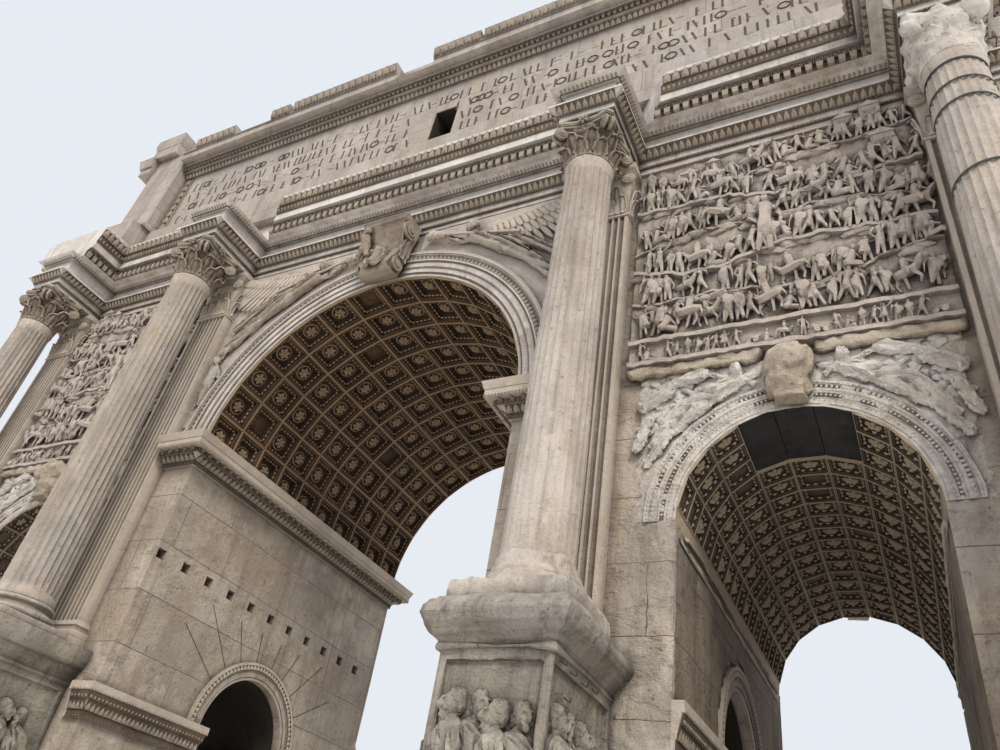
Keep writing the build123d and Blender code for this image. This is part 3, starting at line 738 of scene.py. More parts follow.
SLOT_FINISH = {
    Slot.WALL: Marble(
        "ashlar_marble", (0.69, 0.61, 0.52), (0.46, 0.38, 0.30), (0.22, 0.17, 0.13), 0.7, grain=2.2,
        spall=0.9, course=0.93,
    ),
    Slot.CARVED: Marble(
        "carved_marble", (0.64, 0.56, 0.475), (0.41, 0.335, 0.265), (0.19, 0.14, 0.10), 1.0, 0.16, 0.36,
        grain=1.6, edges=0.5,
    ),
    Slot.COLUMN: Marble(
        "column_marble", (0.68, 0.61, 0.54), (0.53, 0.455, 0.385), (0.28, 0.23, 0.19), 0.75, grain=1.2,
        streaks=0.7, spall=0.3,
    ),
    Slot.ENTABLATURE: Marble(
        "entablature_marble", (0.83, 0.77, 0.725), (0.60, 0.53, 0.475), (0.25, 0.195, 0.155), 0.95, 0.20,
        edges=0.3, grain=1.2,
    ),
    Slot.ATTIC: Marble(
        "attic_marble", (0.60, 0.54, 0.49), (0.44, 0.38, 0.335), (0.25, 0.20, 0.17), 0.6, spall=0.4,
        course=0.87,
    ),
    # Tones darkened beyond the stone's own brown to paint the shade of the deep vault; the highlight tint is
    # a painted highlight on the ribs and fillets.
    Slot.VAULT: Marble(
        "vault_stone", (0.19, 0.105, 0.054), (0.10, 0.054, 0.028), (0.04, 0.022, 0.012), 0.95, 0.22, 0.5,
        grain=1.6, edges=0.9, clouds=0.05, highlight_tint=(0.47, 0.34, 0.22),
    ),
    # The long reach of its hollow mask paints shade under the cap and in the sunk panels.
    Slot.PEDESTAL: Marble(
        "pedestal_marble", (0.53, 0.485, 0.415), (0.37, 0.325, 0.27), (0.18, 0.15, 0.12), 0.85, 0.40,
        grain=2.2, streaks=0.85, spall=0.9,
    ),
}

INCISED = Marble(
    "incised_marks", (0.14, 0.105, 0.08), (0.10, 0.075, 0.058), (0.06, 0.045, 0.035), 0.3, clouds=0.0,
)
IRON = Marble(
    "old_iron", (0.08, 0.088, 0.085), (0.05, 0.053, 0.05), (0.025, 0.024, 0.022),
    0.3, grain=0.3, clouds=0.0,
)
# Dark sheets set behind carved rows: painted shade in their hollows.
HOLLOW_SHADE = Marble(
    "painted_hollow_shade", (0.17, 0.125, 0.09), (0.11, 0.08, 0.056), (0.05, 0.036, 0.026), 0.5, clouds=0.1,
)
# Near-black skin for the window reveal and the passage: painted shade.
DEEP_SHADE = Marble(
    "painted_deep_shade", (0.035, 0.026, 0.019), (0.022, 0.016, 0.012), (0.012, 0.009, 0.007), 0.5, clouds=0.0,
)
PATCHED = Marble(
    "patched_stone", (0.055, 0.054, 0.058), (0.032, 0.032, 0.036), (0.015, 0.015, 0.018),
    0.4, spall=0.5, clouds=0.04,
)
# The dark tone partly paints the shade among the undercut carving; the highlight tint is a painted highlight
# on the proud tips.
ROWS = Marble(
    "carved_rows", (0.42, 0.34, 0.265), (0.25, 0.19, 0.14), (0.07, 0.05, 0.035), 1.0, 0.12, 0.30,
    grain=2.6, edges=0.35, clouds=0.15, highlight_tint=(0.66, 0.57, 0.47),
)
# Tones darkened beyond the stone's own brown to paint the shade inside the side vaults; the highlight tint is
# a painted highlight on the ribs.
SIDE_VAULT = Marble(
    "side_vault_stone", (0.31, 0.235, 0.165), (0.18, 0.13, 0.09), (0.075, 0.055, 0.04), 0.95, 0.14, 0.34,
    grain=1.8, edges=0.95, clouds=0.1, highlight_tint=(0.60, 0.49, 0.36),
)
OCHRE = Marble(
    "yellowed_marble", (0.73, 0.635, 0.515), (0.58, 0.48, 0.365), (0.31, 0.235, 0.17), 0.9, grain=2.4,
    spall=1.0, clouds=0.5,
)
PALE = Marble(
    "pale_rough_marble", (0.90, 0.85, 0.785), (0.78, 0.705, 0.625), (0.38, 0.31, 0.245), 0.55, 0.07,
    grain=2.8, spall=1.0, edges=0.3,
)
# Darker than the wall: painted shade on the jambs of the side archway, over ashlar joints.
JAMB = Marble(
    "shaded_jamb_stone", (0.40, 0.325, 0.25), (0.25, 0.195, 0.145), (0.12, 0.09, 0.065), 0.85, grain=2.8,
    streaks=0.9, spall=1.0, course=0.93, clouds=0.25,
)
GROUND = Marble(
    "relief_ground", (0.64, 0.56, 0.495), (0.46, 0.385, 0.325), (0.20, 0.15, 0.115), 1.0, 0.20, grain=2.0,
    spall=1.0, edges=0.35,
)


@dataclass
class Studio:
    """The floor, the soft lights and the camera at the photograph's place."""

    eye: Point = (8.564, -12.24, 1.393)
    yaw: float = -0.5637
    pitch: float = 0.63476
    roll: float = 0.19
    focal_px: float = 779.55
    frame_px: float = 1000.0
    sensor_mm: float = 36.0
    floor_radius: float = 90.0
    sky_colour: Colour = (0.94, 0.95, 1.0)
    sky_strength: float = 0.80
    backdrop_colour: Colour = (0.80, 0.84, 0.90)
    sun_colour: Colour = (1.0, 0.94, 0.84)
    sun_strength: float = 1.9
    sun_width: float = math.radians(16.0)
    sun_turn: Point = (math.radians(46.0), 0.0, math.radians(38.0))

    def camera(self) -> None:
        """Add the camera, turned by yaw, then pitch, then roll."""
        cosine = math.cos(self.pitch)
        forward = Vector((math.sin(self.yaw) * cosine, math.cos(self.yaw) * cosine, math.sin(self.pitch)))
        right = Vector((math.cos(self.yaw), -math.sin(self.yaw), 0.0))
        up = right.cross(forward)
        turned_right = right * math.cos(self.roll) + up * math.sin(self.roll)
        turned_up = up * math.cos(self.roll) - right * math.sin(self.roll)
        data = bpy.data.cameras.new("camera")
        data.sensor_width = self.sensor_mm
        data.lens = self.focal_px / self.frame_px * self.sensor_mm
        data.clip_end = 500.0
        camera = bpy.data.objects.new("camera", data)
        bpy.context.scene.collection.objects.link(camera)
        turn = Matrix((turned_right, turned_up, -forward)).transposed().to_4x4()
        camera.matrix_world = Matrix.Translation(self.eye) @ turn
        bpy.context.scene.camera = camera

    def light(self) -> None:
        """Give the scene an even sky, pale where the camera sees it, and one broad warm lamp."""
        world = bpy.data.worlds.new("sky")
        bpy.context.scene.world = world
        world.use_nodes = True
        tree = world.node_tree
        sky = tree.nodes["Background"]
        sky.inputs["Color"].default_value = (*self.sky_colour, 1.0)
        sky.inputs["Strength"].default_value = self.sky_strength
        backdrop = tree.nodes.new("ShaderNodeBackground")
        backdrop.inputs["Color"].default_value = (*self.backdrop_colour, 1.0)
        rays = tree.nodes.new("ShaderNodeLightPath")
        either = tree.nodes.new("ShaderNodeMixShader")
        tree.links.new(rays.outputs["Is Camera Ray"], either.inputs["Fac"])
        tree.links.new(sky.outputs["Background"], either.inputs[1])
        tree.links.new(backdrop.outputs["Background"], either.inputs[2])
        tree.links.new(either.outputs["Shader"], tree.nodes["World Output"].inputs["Surface"])
        sun = bpy.data.lights.new("sun", "SUN")
        sun.energy = self.sun_strength
        sun.angle = self.sun_width
        sun.color = self.sun_colour
        lamp = bpy.data.objects.new("sun", sun)
        bpy.context.scene.collection.objects.link(lamp)
        lamp.rotation_euler = self.sun_turn

    def floor(self) -> None:
        """Lay a pale floor well past the arch."""
        bpy.ops.mesh.primitive_circle_add(vertices=96, radius=self.floor_radius, fill_type="NGON")
        floor = bpy.context.object
        floor.name = "floor"
        g = Graph("pale_floor")
        grain = g.noise(g.place(), 3.0)
        g.finish(g.mix(grain, (0.72, 0.70, 0.66), (0.78, 0.76, 0.72)), 0.9, None, 0.0)
        floor.data.materials.append(g.material)


def nub(half_x: float, depth: float, half_z: float, sides: int = 4, z: float = 0.0) -> Piece:
    """A low pyramid, the seen half of a small bead whose base lies on the plane y = 0."""
    bpy.ops.mesh.primitive_cone_add(
        vertices=sides, radius1=1.0, radius2=0.0, depth=1.0, location=(0.0, -0.5, 0.0), rotation=FACING
    )
    sized = Matrix.Diagonal((half_x, depth, half_z, 1.0))
    return placed(settle(bpy.context.object), moved(0.0, 0.0, z) @ sized)


def bead(length: float, thickness: float) -> Piece:
    """One long bead of a string, half sunk in its bed."""
    return nub(length / 2, thickness * 0.55, thickness * 0.6)


def pearl(radius: float) -> Piece:
    """One round bead."""
    return nub(radius, radius, radius, 5)


def tooth(width: float, height: float, depth: float) -> Piece:
    """One plain upright lobe of a small carved row."""
    return nub(width * 0.46, depth, height / 2, 5, height / 2)


def dentil(width: float, depth: float, height: float) -> Piece:
    """One square tooth of a cornice, narrower at its foot."""
    piece = block(-width / 2, width / 2, -depth, 0.02, 0.0, height)
    with editing(piece):
        pick_faces(piece, lambda centre, normal: normal.z < -0.5)
        bpy.ops.transform.resize(value=(0.86, 0.92, 1.0))
    return piece


def egg(width: float, height: float, depth: float) -> Piece:
    """An egg in its open shell with a dart beside it."""
    parts = [nub(width * 0.26, depth * 1.1, height * 0.44, 6, height * 0.48)]
    for side in (-1.0, 1.0):
        top = (side * width * 0.36, -depth * 0.35, height * 0.95)
        foot = (side * width * 0.12, -depth * 0.35, height * 0.02)
        parts.append(limb(top, foot, width * 0.07, width * 0.05, 3))
    top, foot = (width / 2, -depth * 0.3, height * 0.98), (width / 2, -depth * 0.3, 0.0)
    return joined([*parts, limb(top, foot, width * 0.06, 0.004, 3)])


def leaf(width: float, height: float, curl: float, rows: int = 6, thickness: float = 0.15) -> Piece:
    """A pointed carved leaf that stands on its foot and curls out at its tip.

    Args:
        width: Width at its widest.
        height: Height before it curls.
        curl: How far the tip comes forward.
        rows: Divisions along its height.
        thickness: Thickness as a share of the width.

    Returns:
        The leaf, its back on the plane y = 0 and its front towards -Y.
    """
    middle = (0.0, 0.0, height / 2)
    bpy.ops.mesh.primitive_grid_add(
        x_subdivisions=4, y_subdivisions=rows, size=1.0, location=middle, rotation=FACING
    )
    piece = bpy.context.object
    piece.scale = (width, height, 1.0)
    settle(piece)
    gap = height / rows
    with editing(piece, "VERT"):
        for row in range(rows + 1):
            share = row / rows
            lobe = 0.16 * math.cos(share * math.pi * rows)
            wide = (0.72 + 0.3 * math.sin(share * math.pi * 0.9) - 0.62 * share**3) + lobe * (1.0 - share)
            forward = -curl * share**2.4
            pick_points(piece, lambda co, z=row * gap: abs(co.z - z) < gap * 0.2)
            bpy.ops.transform.resize(value=(max(wide, 0.12), 1.0, 1.0), center_override=(0.0, 0.0, row * gap))
            drop_down = -height * 0.16 if row == rows else 0.0
            bpy.ops.transform.translate(value=(0.0, forward, drop_down))
        pick_points(piece, lambda co: abs(co.x) < width * 0.02)
        bpy.ops.transform.translate(value=(0.0, -width * 0.13, 0.0))
        pick_points(piece, lambda co: abs(co.x) > width * 0.3)
        bpy.ops.transform.translate(value=(0.0, -width * 0.05, 0.0))
    modified(piece, "SOLIDIFY", thickness=width * thickness, offset=0.0)
    return outward(piece)


def flat_leaf(width: float, height: float, depth: float) -> Piece:
    """A small upright leaf of a carved band: two sloping halves and a raised rib."""
    half = width * 0.46
    waist, middle = half * 0.9, height * 0.5
    outline = [(-half, 0, 0), (half, 0, 0), (waist, 0, middle), (0, 0, height), (-waist, 0, middle)]
    parts = [
        extruded(outline, (0.0, -depth * 0.6, 0.0)),
        limb((0.0, -depth * 0.6, 0.0), (0.0, -depth * 0.5, height), depth * 0.45, depth * 0.2, 3),
    ]
    with editing(parts[0]):
        pick_faces(parts[0], lambda centre, normal: normal.y < -0.9)
        bpy.ops.mesh.inset(thickness=width * 0.16, depth=depth * 0.35)
    return joined(parts)


def tongue(width: float, height: float, depth: float) -> Piece:
    """A round-ended tongue of a carved row."""
    half = width / 2
    low = height * 0.35
    points = [(-half, 0, height), (-half, 0, low), (-half * 0.6, 0, height * 0.08), (0, 0, 0)]
    points += [(half * 0.6, 0, height * 0.08), (half, 0, low), (half, 0, height)]
    piece = extruded(points, (0.0, -depth, 0.0))
    with editing(piece):
        pick_faces(piece, lambda centre, normal: normal.y < -0.9)
        bpy.ops.mesh.inset(thickness=width * 0.14, depth=-depth * 0.35)
    return piece


def ringlet(radius: float, thickness: float, steps: int = 12) -> Piece:
    """A thin round ring facing -Y."""
    bpy.ops.mesh.primitive_torus_add(
        major_segments=steps, minor_segments=3, major_radius=radius, minor_radius=thickness, rotation=FACING
    )
    return settle(bpy.context.object)


def rosette(radius: float, depth: float, petals: int) -> Piece:
    """A flower with a round boss and a ring of petals, facing -Y."""
    petal = ball((0.0, -depth * 0.25, radius * 0.56), (radius * 0.3, depth * 0.5, radius * 0.42), 5, 3)
    ring = turned_row(petal, petals, turned(2 * math.pi / petals, "Y"))
    return joined([ring, ball((0.0, -depth * 0.5, 0.0), (radius * 0.26, depth * 0.6, radius * 0.26), 6, 3)])


class Workshop:
    """Holds the finishes and hands over the finished pieces."""

    def __init__(self, frame: dict[str, object]) -> None:
        """Make the finishes of the slots."""
        self.finishes = {slot: SLOT_FINISH[slot].material() for slot in Slot}
        self.frame = frame
        self.triangles = 0

    def dress_nodes(self) -> None:
        """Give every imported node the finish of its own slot."""
        for part in self.frame["record"]["subparts"]:
            node = self.frame["nodes"][part["node"]]
            node.data.materials.clear()
            node.data.materials.append(self.finishes[Slot(part["material_slot"])])

    def show(
        self,
        pieces: Sequence[Piece],
        name: str,
        slot: Slot,
        replaced: Sequence[str] = (),
        finish: "Marble | None" = None,
    ) -> Piece:
        """Join pieces into a finished one.

        Args:
            pieces: What the piece is made of.
            name: Its name.
            slot: The slot whose finish it takes.
            replaced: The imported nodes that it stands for.
            finish: A finish of its own instead of the slot's.

        Returns:
            The finished piece.
        """
        piece = joined(pieces, name)
        piece.data.name = name
        piece.data.materials.clear()
        piece.data.materials.append(finish.material() if finish else self.finishes[slot])
        for polygon in piece.data.polygons:
            polygon.material_index = 0
        bpy.ops.object.shade_smooth_by_angle(angle=math.radians(38.0))
        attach(piece, "root")
        if replaced:
            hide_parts(*replaced)
        count = sum(len(polygon.vertices) - 2 for polygon in piece.data.polygons)
        self.triangles += count
        LOG.info("%s: %d triangles, %d so far", name, count, self.triangles)
        return piece


@dataclass
class CofferedVault:
    """A barrel soffit of sunk coffers, with strings of beads on its ribs and a rosette in each coffer."""

    centre: float
    spring: float
    radius: float
    rows: int
    bays: int
    rib: float
    steps: tuple[Flat, ...]
    border: float = 0.0
    thickness: float = 0.24
    fillet: float = 0.018
    eggs_a_side: int = 6
    flower: float = 0.16
    petals: int = 6
    long_flower: float = 1.0
    lost_share: float = 0.05
    patch_rows: int = 0
    patch_bays: int = 0
    seed: int = 7

    @property
    def step(self) -> float:
        """Angle of one row."""
        return (math.pi - 2 * self.border) / self.rows

    @property
    def flat(self) -> float:
        """Distance of the flat soffit of a row from the axis."""
        return self.radius * math.cos(self.step / 2)

    @property
    def pitch(self) -> float:
        """Length of a bay."""
        return 2 * WALL_Y / self.bays

    def row_turn(self, row: int) -> Matrix:
        """Turn that takes the crown to a row."""
        angle = self.border + self.step * (row + 0.5)
        return about(QUARTER - angle, "Y", (self.centre, 0.0, self.spring))

    def in_patch(self, row: int) -> bool:
        """Whether a row belongs to the smooth patch."""
        first = (self.rows - self.patch_rows) / 2
        return first <= row < first + self.patch_rows

    def cell(self) -> Piece:
        """One coffer at the crown, in the bay next to the front."""
        half = self.radius * math.sin(self.step / 2)
        z = self.spring + self.flat
        left, right = self.centre - half, self.centre + half
        piece = block(left, right, -WALL_Y, -WALL_Y + self.pitch, z, z + self.thickness)
        with editing(piece):
            pick_faces(piece, lambda centre, normal: normal.z > 0.5)
            wide = (self.flat + self.thickness) / self.flat
            bpy.ops.transform.resize(value=(wide, 1.0, 1.0), center_override=(self.centre, 0.0, z))
            pick_faces(piece, lambda centre, normal: normal.z < -0.5)
            bpy.ops.mesh.inset(thickness=0.008)
            bpy.ops.mesh.inset(thickness=0.003, depth=self.fillet)
            bpy.ops.mesh.inset(thickness=self.fillet)
            bpy.ops.mesh.inset(thickness=0.003, depth=-self.fillet)
            bpy.ops.mesh.inset(thickness=self.rib / 2 - 0.014 - self.fillet)
            for inward, deep in self.steps:
                bpy.ops.mesh.inset(thickness=inward, depth=-deep)
        return piece

    def eggs(self) -> list[Piece]:
        """The row of eggs round the first ledge of the crown cell."""
        half = self.radius * math.sin(self.step / 2) - self.rib / 2
        deep = self.spring + self.flat + self.steps[0][1]
        ledge = self.steps[1][0] / 2 + self.steps[0][0]
        across = 2 * (half - ledge)
        along = self.pitch - self.rib - 2 * ledge
        middle = -WALL_Y + self.pitch / 2
        made = []
        count = self.eggs_a_side
        y = middle - along / 2 + along / count / 2
        x = self.centre - across / 2 + across / count / 2
        down = turned(QUARTER, "X")
        for side in (-1.0, 1.0):
            one = placed(nub(0.024, 0.030, 0.036), moved(self.centre + side * (half - ledge), y, deep) @ down)
            made.append(repeated(one, count, (0.0, along / count, 0.0)))
            one = placed(nub(0.036, 0.030, 0.024), moved(x, middle + side * along / 2, deep) @ down)
            made.append(repeated(one, count, (across / count, 0.0, 0.0)))
        return made

    def ornament(self) -> Piece:
        """What stands in a coffer: a rosette in its ring, or a long leafy one."""
        if self.long_flower == 1.0:
            return joined([rosette(self.flower, 0.09, self.petals), ringlet(self.flower * 1.22, 0.014)])
        stretch = Matrix.Diagonal((self.long_flower, 1.0, 1.0, 1.0))
        return placed(rosette(self.flower, 0.07, self.petals), stretch)

    def flowers(self) -> list[Piece]:
        """The rosettes, a few of them lost."""
        draw = random.Random(self.seed)
        deep = self.spring + self.flat + sum(step[1] for step in self.steps)
        flower = placed(self.ornament(), turned(QUARTER, "X"))
        places = []
        for row in range(self.rows):
            for bay in range(self.bays):
                if self.in_patch(row) and bay < self.patch_bays:
                    continue
                if draw.random() < self.lost_share * (3.0 if row in (0, self.rows - 1) else 1.0):
                    continue
                y = -WALL_Y + self.pitch * (bay + 0.5)
                spin = draw.uniform(0.0, 1.5) if self.long_flower == 1.0 else 0.0
                spot = moved(self.centre, y, deep) @ turned(spin, "Z")
                places.append(self.row_turn(row) @ spot)
        return copies(flower, places)

    def borders(self) -> list[Piece]:
        """The plain strips at both feet."""
        if not self.border:
            return []
        z = self.spring + self.radius * math.cos(self.border / 2)
        half = self.radius * math.sin(self.border / 2)
        strip = block(self.centre - half, self.centre + half, -WALL_Y, WALL_Y, z, z + self.thickness)
        turns = [QUARTER - self.border / 2, -(QUARTER - self.border / 2)]
        return copies(strip, [about(turn, "Y", (self.centre, 0.0, self.spring)) for turn in turns])

    def patch(self) -> list[Piece]:
        """The smooth stretch at the crown where the coffers are gone."""
        half = self.radius * math.sin(self.step / 2)
        z = self.spring + self.flat
        end = -WALL_Y + self.pitch * self.patch_bays
        slab = block(self.centre - half, self.centre + half, -WALL_Y, end, z + 0.03, z + 0.2)
        return copies(slab, [self.row_turn(row) for row in range(self.rows) if self.in_patch(row)])

    def build(self) -> list[Piece]:
        """All the pieces of the vault."""
        unit = joined([self.cell(), *self.eggs()])
        whole = repeated(copy_at(unit, Matrix()), self.bays, (0.0, self.pitch, 0.0))
        made = copies(whole, [self.row_turn(row) for row in range(self.rows) if not self.in_patch(row)])
        if self.patch_rows:
            shift = moved(0.0, self.pitch * self.patch_bays, 0.0)
            part = repeated(copy_at(unit, shift), self.bays - self.patch_bays, (0.0, self.pitch, 0.0))
            made += copies(part, [self.row_turn(row) for row in range(self.rows) if self.in_patch(row)])
        drop(unit)
        return made + self.flowers() + self.borders()


@dataclass
class Archivolt:
    """A moulded ring round an arch on the front face, with its carved rows."""

    centre: float
    spring: float
    radius: float
    bands: tuple[Flat, ...]
    steps: int
    rows: tuple[CarvedRow, ...]

    def ring(self) -> Piece:
        """The plain moulded ring.

        Returns:
            The ring, whose section follows the bands of (width, projection) from the intrados outwards.
        """
        corners = [(self.centre + self.radius, -WALL_Y, self.spring)]
        out = self.radius
        for width, proud in self.bands:
            corners.append((self.centre + out, -WALL_Y - proud, self.spring))
            out += width
            corners.append((self.centre + out, -WALL_Y - proud, self.spring))
        corners.append((self.centre + out, -WALL_Y, self.spring))
        return spun(corners, self.steps, math.pi, (self.centre, 0.0, self.spring), (0.0, 1.0, 0.0))

    def build(self) -> list[Piece]:
        """The ring and its carved rows; each row is (kind, radius, projection, unit size)."""
        made = [self.ring()]
        for kind, radius, proud, size in self.rows:
            count = round(math.pi * radius / (size * 1.25))
            unit = {
                "bead": lambda: bead(size, size * 0.55),
                "tooth": lambda: tooth(size * 1.1, size * 1.3, size * 0.35),
                "leaf": lambda: flat_leaf(size * 1.2, size * 1.25, size * 0.3),
                "egg": lambda: egg(size * 1.2, size, size * 0.3),
            }[kind]()
            made.append(arc_run(unit, self.centre, self.spring, radius, -WALL_Y - proud, count))
        return made

    def hollow(self, inner: float, outer: float, proud: float) -> Piece:
        """A thin ring of painted shade that backs a carved row between two radii, in its hollows."""
        front = -WALL_Y - proud
        section = ((inner, front), (outer, front), (outer, front + 0.01), (inner, front + 0.01))
        corners = [(self.centre + reach, y, self.spring) for reach, y in section]
        return spun(corners, self.steps, math.pi, (self.centre, 0.0, self.spring), (0.0, 1.0, 0.0))


@dataclass
class Vaults:
    """The coffered soffits of the three archways."""

    def build(self, shop: Workshop) -> None:
        """Build the central soffit and the two side ones."""
        centre = CofferedVault(
            0.0, CENTRE_SPRING, CENTRE_RADIUS, rows=15, bays=10, rib=0.15,
            steps=((0.008, 0.055), (0.05, 0.0), (0.008, 0.055), (0.02, 0.0), (0.006, 0.03)), flower=0.13,
            eggs_a_side=5, lost_share=0.04,
        )
        shop.show(centre.build(), "central_soffit", Slot.VAULT, ["central_coffering"])
        made = []
        for side in (1.0, -1.0):
            vault = CofferedVault(
                side * SIDE_CENTRE, SIDE_SPRING, SIDE_RADIUS, rows=9, bays=17, rib=0.10,
                steps=((0.006, 0.035), (0.028, 0.0), (0.006, 0.02)), border=math.radians(7.5),
                fillet=0.012, eggs_a_side=3, flower=0.08, petals=5, long_flower=1.5, lost_share=0.15,
                patch_rows=3 if side > 0 else 0, patch_bays=3 if side > 0 else 0, seed=11,
            )
            made += vault.build()
            if vault.patch_bays:
                shop.show(vault.patch(), "smooth_patch", Slot.VAULT, finish=PATCHED)
        shop.show(made, "side_soffits", Slot.VAULT, ["side_coffering"], SIDE_VAULT)


@dataclass
class Archivolts:
    """The moulded rings round the three archways, on both faces."""

    centre_bands: tuple[Flat, ...] = (
        (0.05, 0.035), (0.03, 0.045), (0.10, 0.06), (0.03, 0.07), (0.11, 0.08), (0.03, 0.09),
        (0.03, 0.105), (0.13, 0.085), (0.03, 0.10), (0.06, 0.115),
    )
    side_bands: tuple[Flat, ...] = (
        (0.04, 0.010), (0.08, 0.018), (0.03, 0.022), (0.09, 0.028), (0.11, 0.034), (0.05, 0.042),
    )
    centre_hollows: tuple[Band, ...] = ((3.812, 3.938, 0.089), (3.482, 3.508, 0.047), (3.752, 3.778, 0.092))
    side_hollows: tuple[Band, ...] = ((1.65, 1.70, 0.029), (1.785, 1.83, 0.035))
    centre_rows: tuple[CarvedRow, ...] = (
        ("bead", 3.495, 0.05, 0.055), ("bead", 3.625, 0.075, 0.055), ("bead", 3.765, 0.095, 0.055),
        ("leaf", 3.80, 0.085, 0.085), ("tooth", 3.895, 0.09, 0.05), ("tooth", 3.975, 0.112, 0.045),
    )
    side_rows: tuple[CarvedRow, ...] = (
        ("bead", 1.60, 0.018, 0.05), ("tooth", 1.645, 0.026, 0.045), ("bead", 1.715, 0.028, 0.05),
        ("tooth", 1.775, 0.034, 0.05), ("bead", 1.865, 0.042, 0.05),
    )
    steps: int = 60

    def build(self, shop: Workshop) -> None:
        """Build one ring of each kind and mirror it to the other places."""
        ring = Archivolt(0.0, CENTRE_SPRING, CENTRE_RADIUS, self.centre_bands, self.steps, self.centre_rows)
        plain, *carved = ring.build()
        plain = mirrored(plain, y=True)
        carved = mirrored(joined(carved), y=True)
        # Thin rings of painted shade behind the carved rows.
        dark = [ring.hollow(*band) for band in self.centre_hollows]
        ring = Archivolt(SIDE_CENTRE, SIDE_SPRING, SIDE_RADIUS, self.side_bands, self.steps, self.side_rows)
        side = fourfold(worn(worn(joined(ring.build()), 0.06, 0.30), 0.025, 0.06))
        dark = [mirrored(joined(dark), y=True)]
        dark.append(fourfold(joined([ring.hollow(*band) for band in self.side_hollows])))
        shop.show(dark, "ring_hollow_shade", Slot.CARVED, finish=HOLLOW_SHADE)
        shop.show([plain], "centre_rings", Slot.ENTABLATURE, ["archivolts"])
        shop.show([carved], "centre_ring_carving", Slot.CARVED, finish=ROWS)
        shop.show([side], "side_rings", Slot.CARVED, finish=PALE)


@dataclass
class Shaft:
    """A column shaft with rounded flutes, a swelling and scalloped ends."""

    flutes: int = 24
    depth: float = 0.040
    wear_low: float = 0.0
    rings: tuple[Band, ...] = (
        (0.0, 0.0, 0.05), (0.006, 0.0, 0.05), (0.012, 0.0, 0.03), (0.02, 0.0, 0.008), (0.026, 0.6, 0.0),
        (0.034, 1.0, 0.0), (0.2, 1.0, 0.0), (0.4, 1.0, 0.0), (0.6, 1.0, 0.0), (0.8, 1.0, 0.0),
        (0.958, 1.0, 0.0), (0.966, 0.6, 0.0), (0.972, 0.0, 0.0), (0.98, 0.0, 0.006), (0.99, 0.0, 0.03),
        (1.0, 0.0, 0.03),
    )

    def radius(self, share: float) -> float:
        """Radius at a share of the height, with a slight swelling."""
        return 0.455 - 0.065 * share**1.35

    def build(self) -> Piece:
        """Build the shaft by extruding a ring up from its foot; each of rings is (share, cut, flare)."""
        shares, cut, flare = zip(*self.rings)
        height = SHAFT_TOP - SHAFT_BOTTOM
        before = self.radius(0.0) + flare[0]
        bpy.ops.mesh.primitive_circle_add(
            vertices=self.flutes * 4, radius=before, fill_type="NGON", location=(0.0, 0.0, SHAFT_BOTTOM)
        )
        piece = settle(bpy.context.object)
        with editing(piece):
            for k in range(1, len(shares)):
                rise = (shares[k] - shares[k - 1]) * height
                bpy.ops.mesh.extrude_region_move(TRANSFORM_OT_translate={"value": (0.0, 0.0, rise)})
                now = self.radius(shares[k]) + flare[k]
                bpy.ops.transform.resize(value=(now / before, now / before, 1.0), center_override=ORIGIN)
                before = now
        level = {round(SHAFT_BOTTOM + share * height, 4): depth for share, depth in zip(shares, cut)}
        with editing(piece, "VERT"):
            for z, deep in level.items():
                if deep == 0.0:
                    continue
                share = (z - SHAFT_BOTTOM) / height
                kept = 1.0 - self.wear_low * max(0.0, 1.0 - share * 1.6)
                for places, part in (((1, 3), 0.78), ((2,), 1.0)):
                    pick_points(
                        piece, lambda co, z=z, p=places: abs(co.z - z) < 1e-3 and self._place(co) in p
                    )
                    sunk = 1.0 - self.depth * part * deep * kept / self.radius(share)
                    bpy.ops.transform.resize(value=(sunk, sunk, 1.0), center_override=ORIGIN)
        return outward(piece)

    def _place(self, co: Vector) -> int:
        """Number of a point in its flute, from 0 to 3."""
        turn = math.atan2(co.y, co.x) / (2 * math.pi)
        return round(turn * self.flutes * 4) % 4


